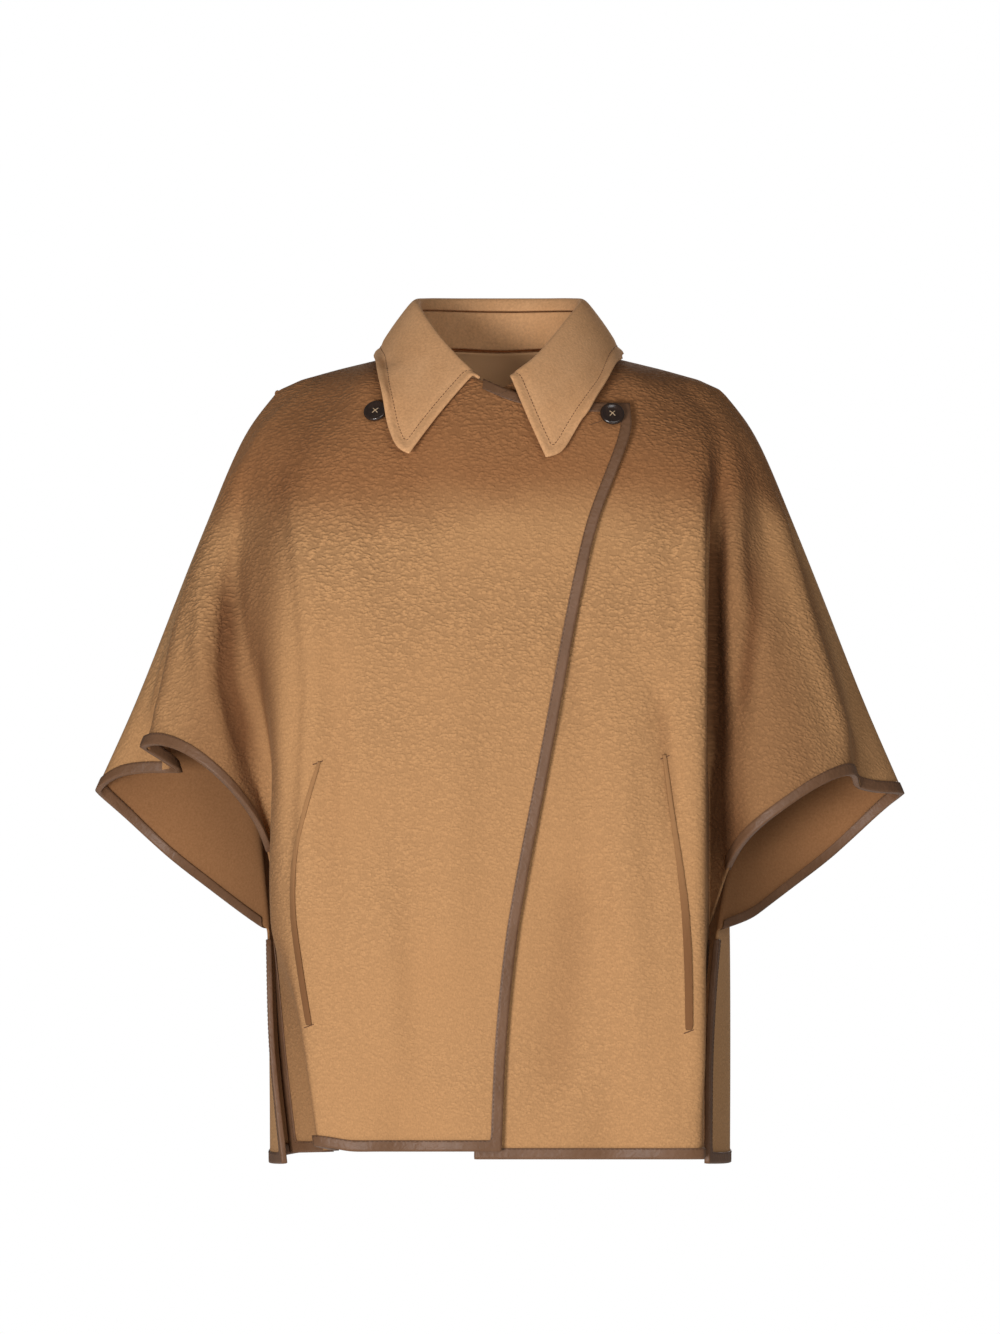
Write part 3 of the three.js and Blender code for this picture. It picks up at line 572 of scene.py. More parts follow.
def thicken(piece, thickness, rounding=0, inside=None):
    """Gives an open sheet its thickness, inwards from the face it already has."""
    wall = piece.modifiers.new("Cloth thickness", "SOLIDIFY")
    if inside:
        piece.data.materials.append(material_of(inside))
        wall.material_offset = 1
    wall.thickness = thickness
    wall.offset = -1
    wall.use_even_offset = False
    if rounding:
        rounds = piece.modifiers.new("Soft edge", "SUBSURF")
        rounds.levels = rounds.render_levels = rounding
    return apply_modifiers(piece)


# ---- sewing


def border_of(mesh):
    """The corners on the open edges of a sheet, as pairs."""
    count = {}
    for face in mesh.polygons:
        for pair in face.edge_keys:
            count[pair] = count.get(pair, 0) + 1
    return [pair for pair, times in count.items() if times == 1]


def distance_in(mesh, keep=None):
    """How far each corner lies from the sheet's open edges, or from those that keep accepts."""
    points = points_of(mesh)
    edge = []
    for i, j in border_of(mesh):
        a, b = points[i], points[j]
        if keep is None or keep((a + b) / 2):
            edge += [a, (a + b) / 2, b]
    tree = search_tree(edge)
    return np.array([tree.find(p)[2] for p in points])


def level_line(mesh, value, level):
    """The line across a sheet where value is at level: places, their normals and the links."""
    points, normals = points_of(mesh), normals_of(mesh)
    places, turned, known, links = [], [], {}, []

    def crossing(i, j):
        key = (min(i, j), max(i, j))
        if key not in known:
            t = (level - value[i]) / (value[j] - value[i])
            known[key] = len(places)
            places.append(points[i] + t * (points[j] - points[i]))
            turned.append(normals[i] + t * (normals[j] - normals[i]))
        return known[key]

    for face in mesh.polygons:
        ring = list(face.vertices)
        for k in range(1, len(ring) - 1):
            corners = [ring[0], ring[k], ring[k + 1]]
            cut = [
                crossing(i, j)
                for i, j in zip(corners, corners[1:] + corners[:1])
                if (value[i] - level) * (value[j] - level) < 0
            ]
            if len(cut) == 2:
                links.append(tuple(cut))
    return np.array(places), np.array(turned), links


def stitch_tree():
    """Geometry nodes that lay stitches along a line: each a short round-ended thread."""
    tree = bpy.data.node_groups.new("Stitches", "GeometryNodeTree")
    kinds = {"Line": "Geometry", "Pitch": "Float", "Length": "Float", "Thread": "Float"}
    for name, kind in {**kinds, "Material": "Material", "Stitches": "Geometry"}.items():
        way = "OUTPUT" if name == "Stitches" else "INPUT"
        tree.interface.new_socket(name, in_out=way, socket_type="NodeSocket" + kind)
    given = tree.nodes.new("NodeGroupInput").outputs
    line = add(tree, "GeometryNodeMeshToCurve", {"Mesh": given["Line"]})
    links = {"Curve": line.outputs["Curve"], "Length": given["Pitch"]}
    spaced = add(tree, "GeometryNodeResampleCurve", links, mode="LENGTH")
    ball = add(tree, "GeometryNodeMeshIcoSphere", Radius=1.0, Subdivisions=1)
    half = add(tree, "ShaderNodeMath", {0: given["Length"]}, operation="MULTIPLY")
    half.inputs[1].default_value = 0.5
    links = {"X": given["Thread"], "Y": given["Thread"], "Z": half.outputs[0]}
    size = add(tree, "ShaderNodeCombineXYZ", links)
    links = {"Vector": add(tree, "GeometryNodeInputTangent").outputs[0]}
    turn = add(tree, "FunctionNodeAlignRotationToVector", links, axis="Z")
    links = {
        "Points": spaced.outputs["Curve"],
        "Instance": ball.outputs["Mesh"],
        "Rotation": turn.outputs[0],
        "Scale": size.outputs[0],
    }
    placed = add(tree, "GeometryNodeInstanceOnPoints", links)
    links = {"Geometry": placed.outputs["Instances"]}
    real = add(tree, "GeometryNodeRealizeInstances", links)
    links = {"Geometry": real.outputs["Geometry"], "Material": given["Material"]}
    named = add(tree, "GeometryNodeSetMaterial", links)
    out = tree.nodes.new("NodeGroupOutput")
    tree.links.new(named.outputs["Geometry"], out.inputs["Stitches"])
    return tree


def sew_along(name, places, links, thread, pitch=3.9, length=3.1, width=0.55):
    """Stitches along linked places as a plain mesh. Sizes in mm."""
    piece = link(name, mesh_from(name, places, links))
    tree = bpy.data.node_groups.get("Stitches") or stitch_tree()
    modifier = piece.modifiers.new("Stitches", "NODES")
    modifier.node_group = tree
    values = {
        "Pitch": pitch * MM,
        "Length": length * MM,
        "Thread": width / 2 * MM,
        "Material": material_of(thread),
    }
    for socket in tree.interface.items_tree:
        if socket.in_out == "INPUT" and socket.name in values:
            modifier[socket.identifier] = values[socket.name]
    apply_modifiers(piece)
    if not piece.data.materials:
        piece.data.materials.append(material_of(thread))
    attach(piece, "root")
    return piece


def tree_of(pieces):
    """One search tree over the outsides of several pieces."""
    corners, faces = [], []
    for piece in pieces:
        start = len(corners)
        corners += [v.co.copy() for v in piece.data.vertices]
        faces += [[start + i for i in f.vertices] for f in piece.data.polygons]
    return BVHTree.FromPolygons(corners, faces)


def laid_on(places, normals, links, ground, lift, reach=9.0):
    """Sets places on the outermost surface over them, and drops those that have none there."""
    kept, out = {}, []
    for k, (place, normal) in enumerate(zip(places, normals)):
        normal = Vector(normal).normalized()
        start = Vector(place) + normal * reach * MM
        hit, _, _, away = ground.ray_cast(start, -normal, (reach + 1) * MM)
        if hit is not None and away > 0.3 * MM:
            kept[k] = len(out)
            out.append(hit + normal * lift * MM)
    return out, [(kept[i], kept[j]) for i, j in links if i in kept and j in kept]


# ---- panels

PANELS = [
    # node, wall in mm, way it faces, way to the right along it
    ("front_right", 2.4, (0, -1, 0), (1, 0, 0)),
    ("front_left", 2.4, (0, -1, 0), (1, 0, 0)),
    ("back", 2.4, (0, 1, 0), (-1, 0, 0)),
]
CLOTH = {}  # finished pieces by node
SEAMS = {}  # lines of sewing found while the pieces are made: places and links
SHEETS = {}  # each panel's outer face before it gets its thickness
SHIFTS = {}  # how each panel's creases moved it: a search tree of its places, and the moves

# A crease is a soft ridge (its rise above 0) or trough (below 0) along a line.
# Columns of the tables, which are those of Crease:
# rise: mm at its middle; left, right: mm from the line to where it has died away on each side;
# fade: share of its length over which each end dies away;
# line: (x, z) in mm as seen from the front, running down.
Crease = namedtuple("Crease", "rise left right fade line")
FRONT_CREASES = [
    # sleeve on the left, seen from the front: the fold from the shoulder to the cuff's point,
    # and the deep valley beside it
    (4, 5, 18, 0.12, [(-226, -70), (-250, -118), (-279, -183), (-306, -282), (-318, -330)]),
    (-7, 22, 26, 0.35, [(-234, -120), (-250, -185), (-245, -280), (-225, -345), (-206, -410)]),
    (4, 16, 14, 0.4, [(-262, -160), (-270, -240), (-262, -325)]),
    # body on the left: two long soft folds from the chest to the hem
    (5, 14, 26, 0.25, [(-192, -60), (-178, -175), (-169, -285), (-176, -420), (-184, -520)]),
    (-3.5, 26, 20, 0.4, [(-150, -200), (-146, -330), (-152, -470), (-150, -600)]),
    (-3, 24, 18, 0.5, [(-122, -60), (-112, -150), (-96, -250)]),
    (4, 30, 26, 0.35, [(-108, -420), (-100, -540), (-88, -690)]),
    # middle: the lap swings out and a broad hollow opens towards the hem
    (3, 36, 34, 0.4, [(-30, -150), (-42, -300), (-46, -460), (-40, -640)]),
    (-7, 44, 40, 0.3, [(74, -400), (60, -560), (44, -705)]),
    (-3.5, 30, 28, 0.45, [(62, -150), (66, -280), (72, -400)]),
    (6.5, 38, 30, 0.3, [(112, -250), (110, -400), (116, -560), (112, -700)]),
    # body on the right
    (-5, 18, 18, 0.35, [(138, -250), (150, -350), (160, -450)]),
    (-3, 24, 16, 0.45, [(150, -70), (156, -180), (160, -280)]),
    (4, 22, 5, 0.12, [(180, -64), (182, -200), (182, -400), (180, -690)]),
    # sleeve on the right: a ridge between two dark valleys, and the long fold to the cuff's point
    (-7, 6, 20, 0.3, [(193, -90), (188, -189), (191, -300), (188, -390)]),
    (4, 14, 16, 0.4, [(212, -70), (211, -150), (216, -240)]),
    (-5.5, 20, 24, 0.35, [(234, -110), (230, -215), (216, -297), (196, -365)]),
    (5, 18, 5, 0.15, [(243, -100), (276, -213), (300, -290), (322, -355)]),
    (-2, 8, 14, 0.4, [(300, -230), (316, -290), (328, -350)]),
]
# The hidden back, guessed alike: folds hang from the shoulder blades and from the slits.
BACK_CREASES = [
    (-6, 15, 15, 0.3, [(-238, -120), (-246, -190), (-236, -270), (-220, -350)]),
    (4, 12, 24, 0.25, [(-196, -60), (-186, -180), (-180, -320), (-186, -500)]),
    (4, 30, 28, 0.35, [(-128, -120), (-118, -300), (-112, -520), (-104, -700)]),
    (-4, 30, 34, 0.4, [(-66, -260), (-60, -440), (-62, -690)]),
    (3, 34, 36, 0.45, [(6, -120), (-4, -330), (8, -560)]),
    (-4, 32, 28, 0.4, [(58, -330), (64, -500), (70, -700)]),
    (4, 28, 30, 0.35, [(120, -100), (124, -280), (116, -470), (122, -700)]),
    (4, 22, 10, 0.25, [(192, -64), (186, -200), (184, -360), (188, -520)]),
    (-6, 15, 15, 0.3, [(236, -116), (244, -196), (236, -266), (218, -344)]),
    (3, 16, 10, 0.25, [(248, -100), (270, -180), (292, -260), (320, -345)]),
]
# Rows of mm down, mm out: where the painted shade of the wearer's right sleeve begins, and
# where the light outer strip of both sleeves does. On the left the painted shade begins at one
# width.
SHADE_FROM_RIGHT = [(60, 150), (117, 171), (252, 189), (387, 203)]
SHADE_FROM_LEFT = 184
STRIP_FROM = [(20, 165), (60, 206), (118, 244), (183, 273), (282, 303), (350, 320)]
SLEEVE_END = 470  # mm down
DARKEST = 0.9  # the most painted shade that any corner gets


def smooth(share):
    """0 to 1 with a soft start and end."""
    share = np.clip(share, 0, 1)
    return share * share * (3 - 2 * share)


def hill(gap, reach):
    """1 in the middle, 0 from reach onwards, round in between."""
    return 0.5 + 0.5 * np.cos(np.pi * np.clip(gap / reach, 0, 1))


def crease_at(x, z, crease):
    """How far a crease moves each place (x, z), all in mm."""
    line = np.array(crease.line, float)
    steps = np.diff(line, axis=0)
    lengths = np.hypot(*steps.T)
    starts = np.concatenate([[0], np.cumsum(lengths)[:-1]])
    best = np.full(len(x), 1e9)
    side, along = np.zeros(len(x)), np.zeros(len(x))
    for (ax, az), (dx, dz), length, start in zip(line, steps, lengths, starts):
        t = np.clip(((x - ax) * dx + (z - az) * dz) / length**2, 0, 1)
        off_x, off_z = x - ax - t * dx, z - az - t * dz
        gap = np.hypot(off_x, off_z)
        nearer = gap < best
        best = np.where(nearer, gap, best)
        side = np.where(nearer, np.sign(dx * off_z - dz * off_x), side)
        along = np.where(nearer, start + t * length, along)
    share = along / lengths.sum()
    # lines run downwards, so a place to their right has a positive side
    across = hill(best, np.where(side > 0, crease.right, crease.left))
    ends = smooth(share / crease.fade) * smooth((1 - share) / crease.fade)
    return crease.rise * across * ends


def carry(piece, panel):
    """Moves a piece on a panel as the panel's creases move the cloth under it."""
    tree, shift = SHIFTS[panel]
    points = points_of(piece.data)
    for k, place in enumerate(points):
        near = tree.find_n(place, 4)
        weights = [1 / (gap + 0.5 * MM) for _, _, gap in near]
        moves = (shift[i] * w for (_, i, _), w in zip(near, weights))
        points[k] += sum(moves) / sum(weights)
    move_points(piece.data, points)


def seen_from_front(points):
    """Where places stand in the tables of creases: x and z in mm, as the camera sees them."""
    studio = bpy.context.scene.jacket_studio
    far = 1 + points[:, 1] / studio.distance
    z = studio.eye_height + (points[:, 2] - studio.eye_height) / far
    return points[:, 0] / far / MM, z / MM


def lay_creases(piece, node, creases, facing):
    """Moves a sheet along its own normals by its creases, where it faces the right way."""
    points, normals = points_of(piece.data), normals_of(piece.data)
    towards = normals @ np.array(facing, float)
    turned = smooth((towards - 0.1) / 0.35)
    x, z = seen_from_front(points)
    creases = [Crease(*row) for row in creases]
    rises = [crease_at(x, z, crease) for crease in creases]
    shift = normals * (sum(rises) * turned * MM)[:, None]
    SHIFTS[node] = (search_tree(points), shift)
    move_points(piece.data, points + shift)
    # painted shade in troughs sunk more than 3 mm, less where they are wide
    weights = [1 if c.left + c.right < 60 else 0.3 for c in creases]
    hollow = sum(np.maximum(-r - 3, 0) * w for r, w in zip(rises, weights)) / 4
    # and painted shade on flanks that turn away from the front
    flank = smooth((0.9 - np.abs(normals_of(piece.data)[:, 1])) / 0.6)
    flank *= smooth(towards / 0.15 + 1)
    # painted shade over the sleeves, which reads browner; their outer strips lie in the light and
    # get none
    brown = np.where(x < 0, np.interp(-z, *zip(*SHADE_FROM_RIGHT)), SHADE_FROM_LEFT)
    sleeve = smooth((np.abs(x) - brown) / np.where(x < 0, 34, 5))
    sleeve = sleeve * smooth((z + SLEEVE_END) / 60)
    strip = np.abs(x) - np.interp(-z, *zip(*STRIP_FROM))
    sleeve *= 1 - 0.8 * smooth((strip + 50) / 40)
    within = 1 - smooth(strip / 8)
    depth = 0.55 * hollow * turned + (0.5 * flank + 0.5 * sleeve * turned) * within
    write_depth(piece.data, np.clip(depth, 0, DARKEST))


def main_panel(node, wall, facing, across):
    piece = link(node + "_cloth", open_sheet(node, wall * MM, Vector(facing)), "cloth")
    lay_flat(piece, across)
    cloth = bpy.context.scene.jacket_cloth
    subdivide(piece, cloth.fineness)
    creases = FRONT_CREASES if facing[1] < 0 else BACK_CREASES
    lay_creases(piece, node, creases, facing)
    SHEETS[node] = piece.data.copy()
    return piece


class ClothSettings(bpy.types.PropertyGroup):
    thickness: FloatProperty(
        name="Thickness", description="Thickness of the coating", default=2.2 * MM, unit="LENGTH"
    )
    ripple_width: FloatProperty(
        name="Ripple width", description="Width of one wavelet of nap in mm", default=4.4
    )
    ripple_height: FloatProperty(
        name="Ripple height", description="Height of one wavelet of nap in mm", default=2.5
    )
    fineness: IntProperty(
        name="Fineness", description="Rounds of subdivision", default=2, min=1, max=3
    )


def colour_of(name, description, hex_colour):
    """A colour to choose, at first an sRGB hex one."""
    told = {"name": name, "description": description, "default": linear(hex_colour)}
    return FloatVectorProperty(subtype="COLOR", size=4, min=0, max=1, **told)


class ColourSettings(bpy.types.PropertyGroup):
    coat_dull: colour_of("Coat, dull", "Camel of the coat's duller patches", "#ad8055")
    coat_clear: colour_of("Coat, clear", "Camel of the coat's clearer patches", "#b98b5f")
    # painted shade over the chest and shoulders
    coat_top_shade: colour_of("Coat, chest", "Painted shade over chest and shoulders", "#93643f")
    # painted shade in troughs, on turned-away flanks and over the sleeves
    coat_crease_shade: colour_of("Coat, hollow", "Painted shade of the pile in troughs and on flanks", "#6a4328")
    collar_dull: colour_of("Collar, dull", "Duller clouds of the collar's felt", "#c29063")
    collar_clear: colour_of("Collar, clear", "Clearer clouds of the felt", "#d0a074")
    leather_dark: colour_of("Leather, dark", "Darker clouds of the bindings", "#593c25")
    leather_pale: colour_of("Leather, pale", "Paler clouds of the bindings", "#795841")


class StudioSettings(bpy.types.PropertyGroup):
    distance: FloatProperty(
        name="Camera distance", description="From the camera to the middle of the garment",
        default=3.5, unit="LENGTH",
    )
    eye_height: FloatProperty(
        name="Eye height", description="Height of the camera over the shoulder line",
        default=-0.2673, unit="LENGTH",
    )
    ambient: FloatProperty(name="Ambient light", description="Light from all round", default=0.14)
    width_seen: FloatProperty(
        name="Width seen", description="Width of the view at the garment",
        default=0.9, unit="LENGTH",
    )


class JACKET_OT_panels(bpy.types.Operator):
    """Makes the fronts and the back as shells of coating"""

    bl_idname = "jacket.panels"
    bl_label = "Fronts and back"

    def execute(self, context):
        for node, wall, facing, across in PANELS:
            piece = main_panel(node, wall, facing, across)
            thicken(piece, context.scene.jacket_cloth.thickness, inside="inside")
            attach(piece, "root")
            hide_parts(node)
            CLOTH[node] = piece
        return {"FINISHED"}


# The line where the collar turns over, from the middle of the back to the front, in mm
ROLL = [
    (0, 66, 63), (40, 58, 63), (67, 36, 63), (75, 8, 62),
    (68, -20, 50), (50, -49, 28), (33, -68, 9), (15, -82, -4),
]
ROLL_CLEAR = 15 * MM  # edges nearer the roll than this are the neck's, and aren't stitched
STITCH_INSET = 9.5 * MM  # from the collar's edge to its row of stitches
SWELL_INSET = 3.5 * MM  # from the edge to the crest of the swollen border
BORDER_REACH = 5 * MM  # how far groove and swell reach to each side
GROOVE, SWELL = 1.1, 0.9  # mm


class JACKET_OT_collar(bpy.types.Operator):
    """Makes the collar and its stand, with the groove inside the edge and the line for its row of
    stitches
    """

    bl_idname = "jacket.collar"
    bl_label = "Collar"

    def topstitch(self, piece):
        """Presses the groove of the stitched row, and keeps its line for the sewing."""
        roll = np.array(ROLL) * MM
        steps = np.linspace(0, 1, 9)[:, None]
        line = np.vstack([a + steps * (b - a) for a, b in zip(roll, roll[1:])])

        def outer(p):
            p = np.array([abs(p[0]), p[1], p[2]])
            return np.linalg.norm(line - p, axis=1).min() > ROLL_CLEAR

        away = distance_in(piece.data, outer)
        groove = hill(np.abs(away - STITCH_INSET), BORDER_REACH)
        swell = hill(np.abs(away - SWELL_INSET), BORDER_REACH)
        points, normals = points_of(piece.data), normals_of(piece.data)
        rise = SWELL * swell - GROOVE * groove
        move_points(piece.data, points + normals * (rise * MM)[:, None])
        places, normals, links = level_line(piece.data, away, STITCH_INSET)
        unit = normals / np.linalg.norm(normals, axis=1)[:, None]
        SEAMS["collar_topstitch"] = (places + unit * 0.15 * MM, links)

    def execute(self, context):
        for node, wall in (("collar", 3.0), ("collar_stand", 2.4)):
            sheet = open_sheet(node, wall * MM, Vector((0, 0, 1)))
            piece = link(node + "_cloth", sheet, "collar")
            subdivide(piece, 2)
            if node == "collar":
                self.topstitch(piece)
            thicken(piece, wall * MM, rounding=1)
            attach(piece, "root")
            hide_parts(node)
            CLOTH[node] = piece
        return {"FINISHED"}


# Leather bindings and the panel that each is folded round
BINDINGS = {
    "bind_front_right": "front_right",
    "bind_front_left": "front_left",
    "bind_back": "back",
    "bind_cuff_right": "front_right",
    "bind_cuff_left": "front_left",
}


# Pocket welts and the panel that each lies on
WELTS = {"pocket_right": "front_right", "pocket_left": "front_left"}


class JACKET_OT_pockets(bpy.types.Operator):
    """Makes the narrow welts of the pockets"""

    bl_idname = "jacket.pockets"
    bl_label = "Pocket welts"

    def execute(self, context):
        for node, panel in WELTS.items():
            piece = link(node + "_welt", mesh_of(solid_of(node), node + "_welt"), "cloth")
            subdivide(piece, 1)
            height = points_of(piece.data)[:, 2] / MM
            # painted shade along the whole welt, more towards its foot where it opens
            write_depth(piece.data, 0.3 + 0.5 * smooth((-height - 380) / 150))
            carry(piece, panel)
            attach(piece, "root")
            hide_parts(node)
        return {"FINISHED"}


class JACKET_OT_bindings(bpy.types.Operator):
    """Makes the folded leather bindings"""

    bl_idname = "jacket.bindings"
    bl_label = "Leather bindings"

    def execute(self, context):
        sharp = 40  # degrees between faces at a fold of the leather
        for node, panel in BINDINGS.items():
            bm = solid_of(node)
            join_into_quads(bm, sharp)
            crisp = bm.edges.layers.float.new("crease_edge")
            for edge in bm.edges:
                if edge.calc_face_angle(0) > math.radians(sharp):
                    edge[crisp] = 0.7
            piece = link(node + "_leather", mesh_of(bm, node + "_leather"), "leather")
            subdivide(piece, 2)
            carry(piece, panel)
            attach(piece, "root")
            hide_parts(node)
            CLOTH[node] = piece
        return {"FINISHED"}


# Buttons: node and the way its face looks
BUTTONS = [
    ("button_left", (0.1, -0.88, 0.45)),
    ("button_right", (-0.22, -0.8, 0.55)),
]
# Face of a button from its middle outwards: radius and height over its middle plane, in mm
BUTTON_FACE = [
    (0, 0.9), (3.4, 0.9), (5.6, 1.0), (7.0, 1.5), (7.9, 2.0), (8.8, 2.1),
    (9.7, 1.9), (10.4, 1.3), (10.8, 0.2), (10.5, -1.0), (9.0, -2.0), (0, -2.1),
]
HOLES = [(2.1, 2.1), (-2.1, 2.1), (-2.1, -2.1), (2.1, -2.1)]  # mm from the middle
HOLE_RADIUS, LIP_HEIGHT, LIP_STEPS = 0.95, 0.95, 12
# The thread's two crossed passes from hole to hole: x, y and height in mm
CROSSED = [
    (2.1, 2.1, 0.9), (0, 0, 1.5), (-2.1, -2.1, 0.9),
    (-2.1, 2.1, 0.9), (0, 0, 1.7), (2.1, -2.1, 0.9),
]


def turned_piece(name, profile, rounds, frame, material):
    """A shape turned on a lathe: (radius, height) pairs in mm, set in frame."""
    bm = bmesh.new()
    corners = [bm.verts.new((r * MM, 0, h * MM)) for r, h in profile]
    edges = [bm.edges.new(pair) for pair in zip(corners, corners[1:])]
    about = {"axis": (0, 0, 1), "cent": (0, 0, 0), "angle": 2 * math.pi}
    bmesh.ops.spin(bm, geom=corners + edges, steps=rounds, use_merge=True, **about)
    bmesh.ops.remove_doubles(bm, verts=bm.verts, dist=WELD)
    bmesh.ops.recalc_face_normals(bm, faces=bm.faces)
    bm.transform(frame)
    piece = link(name, mesh_of(bm, name), material)
    shade_smooth(piece.data)
    return piece


class JACKET_OT_buttons(bpy.types.Operator):
    """Turns the horn buttons and ties them on"""

    bl_idname = "jacket.buttons"
    bl_label = "Buttons"

    def execute(self, context):
        for node, looks in BUTTONS:
            low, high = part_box(node)
            frame = Matrix.Translation((Vector(low) + Vector(high)) / 2)
            frame = frame @ Vector(looks).to_track_quat("Z", "Y").to_matrix().to_4x4()
            piece = turned_piece(node + "_horn", BUTTON_FACE, 48, frame, "horn")
            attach(piece, "root")
            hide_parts(node)

            turns = np.linspace(0, 2 * math.pi, LIP_STEPS + 1)[:-1]
            lips_at = [
                (x + HOLE_RADIUS * math.cos(t), y + HOLE_RADIUS * math.sin(t), LIP_HEIGHT)
                for x, y in HOLES
                for t in turns
            ]
            places = [frame @ (Vector(p) * MM) for p in lips_at]
            links = [
                (start + i, start + (i + 1) % LIP_STEPS)
                for start in range(0, len(places), LIP_STEPS)
                for i in range(LIP_STEPS)
            ]
            lips = sew_along(node + "_hole_lips", places, links, "horn", 0.45, 0.6, 0.45)
            places = [frame @ (Vector(p) * MM) for p in CROSSED]
            links = [(0, 1), (1, 2), (3, 4), (4, 5)]
            tie = sew_along(node + "_thread", places, links, "pale thread", 0.5, 1.3, 0.8)
        return {"FINISHED"}


BINDING_INSET = 7.6 * MM  # from the cloth's edge to the stitches that hold its binding
# Short rows of close stitches as seen from the front, in mm: ends, then how thick
TACKS = [
    ("pocket_right_tack", (-168, -355), (-160, -352), 1.1),
    ("pocket_right_tack_low", (-176, -592), (-168, -589), 1.0),
    ("pocket_left_tack", (145, -350), (152, -347), 1.1),
    ("pocket_left_tack_low", (166, -597), (174, -594), 1.1),
    ("buttonhole", (78, -36), (90, -33), 1.0),
    ("buttonhole_tack", (82, -49), (91, -46), 0.8),
]


def seen_line(ends, ground, lift):
    """Places on the cloth under a straight line drawn from the camera's side. Sizes in mm."""
    studio = bpy.context.scene.jacket_studio
    eye = Vector((0, -studio.distance, studio.eye_height))
    (ax, az), (bx, bz) = ends
    out = []
    for t in np.linspace(0, 1, 8):
        goal = Vector(((ax + t * (bx - ax)) * MM, 0, (az + t * (bz - az)) * MM))
        ray = (goal - eye).normalized()
        hit, normal, _, _ = ground.ray_cast(eye, ray)
        if hit is not None:
            normal = normal if normal.dot(ray) < 0 else -normal
            out.append(hit + normal * lift * MM)
    return out


class JACKET_OT_sewing(bpy.types.Operator):
    """Sews the bindings, the collar and the ends of the pockets"""

    bl_idname = "jacket.sewing"
    bl_label = "Sewing"

    def execute(self, context):
        leather = tree_of([CLOTH[node] for node in BINDINGS])
        for node, sheet in SHEETS.items():
            away = distance_in(sheet)
            places, normals, links = level_line(sheet, away, BINDING_INSET)
            for side, way in (("out", 1), ("in", -1)):
                on, kept = laid_on(places, normals * way, links, leather, 0.05, 7)
                if kept:
                    name = f"{node}_binding_stitch_{side}"
                    row = sew_along(name, on, kept, "brown thread")
        fronts = tree_of([CLOTH[node] for node in ("front_right", "front_left", *BINDINGS)])
        for name, start, end, width in TACKS:
            on = seen_line((start, end), fronts, 0.1)
            kept = [(k, k + 1) for k in range(len(on) - 1)]
            row = sew_along(name, on, kept, "camel thread", 0.8, 1.6, width)
        places, links = SEAMS["collar_topstitch"]
        row = sew_along("collar_topstitch", places, links, "camel thread", 3.4, 2.9, 0.8)
        return {"FINISHED"}


FLOOR_DROP = 1.6  # m from the hem to the floor
LAMPS = [
    # name, place, size in m, power in W
    ("key", (-1.15, -2.9, -0.75), 0.8, 76),
    ("fill", (1.0, -2.8, 0.5), 1.4, 24),
    ("back", (0.3, 2.8, 0.6), 1.6, 58),
]


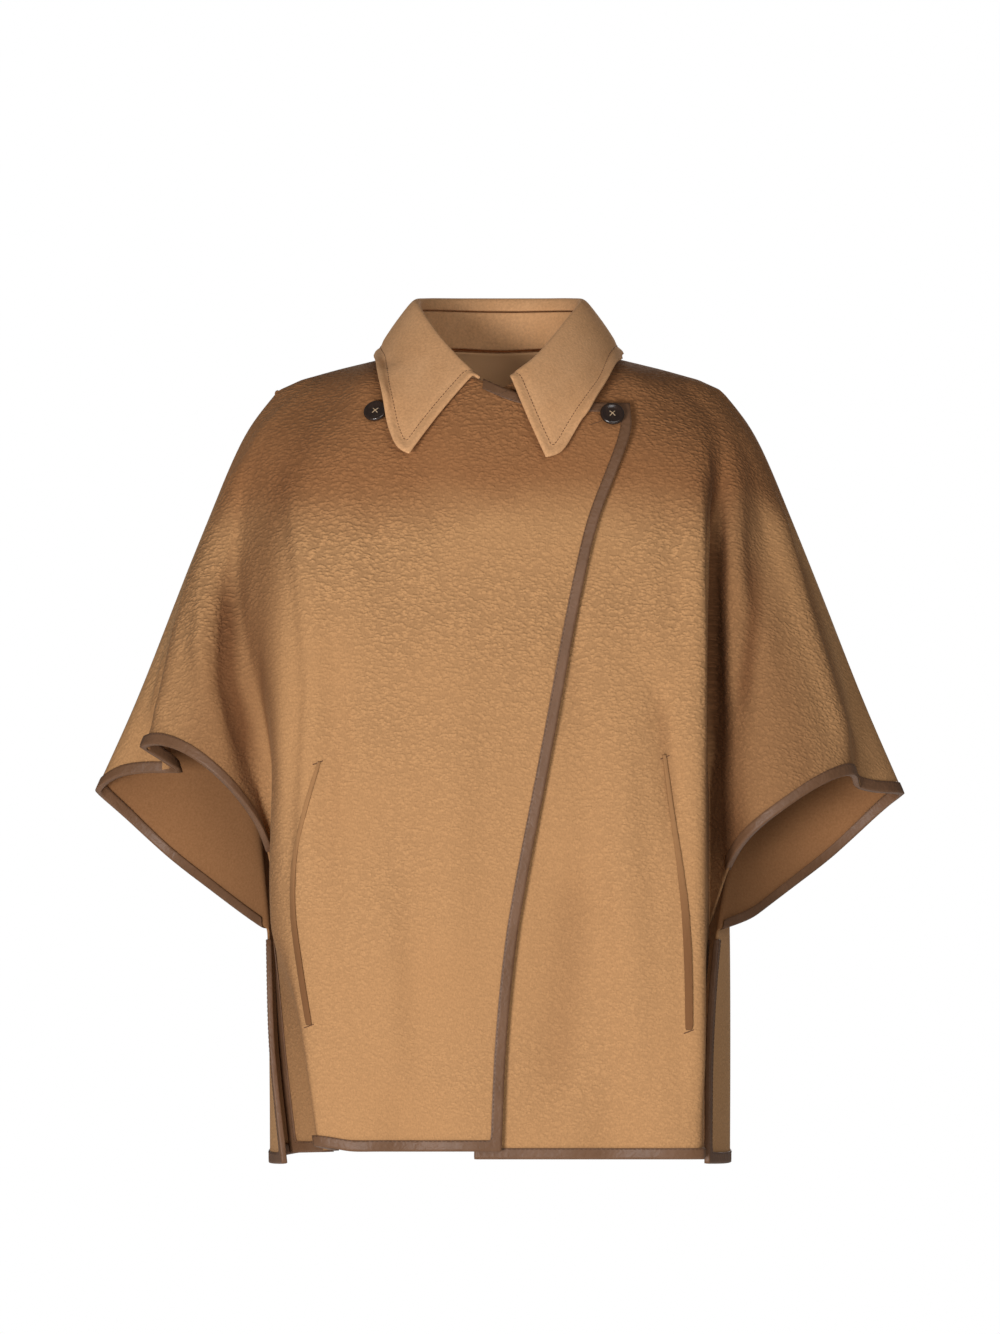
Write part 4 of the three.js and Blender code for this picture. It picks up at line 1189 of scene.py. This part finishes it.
class JACKET_OT_stage(bpy.types.Operator):
    """Makes the floor, the lights and the camera"""

    bl_idname = "jacket.stage"
    bl_label = "Studio"

    def execute(self, context):
        studio = context.scene.jacket_studio
        side, front, rear = 5.0, -5.0, 4.0
        low = CAD_LOW[2] - FLOOR_DROP
        corners = [(-side, front), (side, front), (side, rear), (-side, rear)]
        places = [(x, y, low) for x, y in corners]
        board = mesh_from("floor", places, faces=[(0, 1, 2, 3)])
        floor = link("floor", board, "floor")
        world = bpy.data.worlds.new("Studio")
        context.scene.world = world
        world.use_nodes = True
        tree = world.node_tree
        seen = add(tree, "ShaderNodeLightPath").outputs["Is Camera Ray"]
        sky = tree.nodes["Background"]
        sky.inputs["Color"].default_value = (1.0, 1.0, 1.0, 1.0)
        glow = spread(tree, seen, onto=(studio.ambient, 1.0))
        tree.links.new(glow, sky.inputs["Strength"])
        middle = Vector((0, 0, studio.eye_height))
        for name, place, size, power in LAMPS:
            lamp = bpy.data.lights.new(name, "AREA")
            lamp.size, lamp.energy = size, power
            holder = bpy.data.objects.new(name, lamp)
            holder.visible_camera = False
            context.scene.collection.objects.link(holder)
            holder.location = place
            aim = middle - Vector(place)
            holder.rotation_euler = aim.to_track_quat("-Z", "Y").to_euler()
        camera = bpy.data.cameras.new("camera")
        camera.sensor_fit = "HORIZONTAL"
        camera.sensor_width = 36.0
        camera.lens = camera.sensor_width * studio.distance / studio.width_seen
        holder = bpy.data.objects.new("camera", camera)
        context.scene.collection.objects.link(holder)
        holder.location = (0, -studio.distance, studio.eye_height)
        holder.rotation_euler = (math.radians(90), 0, 0)
        context.scene.camera = holder
        context.scene.view_settings.view_transform = "Standard"
        return {"FINISHED"}


class JACKET_PT_panel(bpy.types.Panel):
    """Lists what makes the jacket"""

    bl_label = "Jacket"
    bl_space_type = "VIEW_3D"
    bl_region_type = "UI"
    bl_category = "Jacket"

    def draw(self, context):
        scene = context.scene
        for settings in (scene.jacket_cloth, scene.jacket_colours, scene.jacket_studio):
            box = self.layout.box()
            for name in settings.__annotations__:
                box.prop(settings, name)
        for operator in OPERATORS:
            self.layout.operator(operator.bl_idname)


OPERATORS = [
    JACKET_OT_stage,
    JACKET_OT_panels,
    JACKET_OT_collar,
    JACKET_OT_bindings,
    JACKET_OT_pockets,
    JACKET_OT_buttons,
    JACKET_OT_sewing,
]
CLASSES = [ClothSettings, ColourSettings, StudioSettings, *OPERATORS, JACKET_PT_panel]


def register():
    for cls in CLASSES:
        bpy.utils.register_class(cls)
    bpy.types.Scene.jacket_cloth = PointerProperty(type=ClothSettings)
    bpy.types.Scene.jacket_colours = PointerProperty(type=ColourSettings)
    bpy.types.Scene.jacket_studio = PointerProperty(type=StudioSettings)


def unregister():
    del bpy.types.Scene.jacket_studio
    del bpy.types.Scene.jacket_colours
    del bpy.types.Scene.jacket_cloth
    for cls in reversed(CLASSES):
        bpy.utils.unregister_class(cls)


def main():
    register()
    bpy.ops.jacket.stage()
    bpy.ops.jacket.panels()
    bpy.ops.jacket.collar()
    bpy.ops.jacket.bindings()
    bpy.ops.jacket.pockets()
    bpy.ops.jacket.buttons()
    bpy.ops.jacket.sewing()


if __name__ == "__main__":
    main()
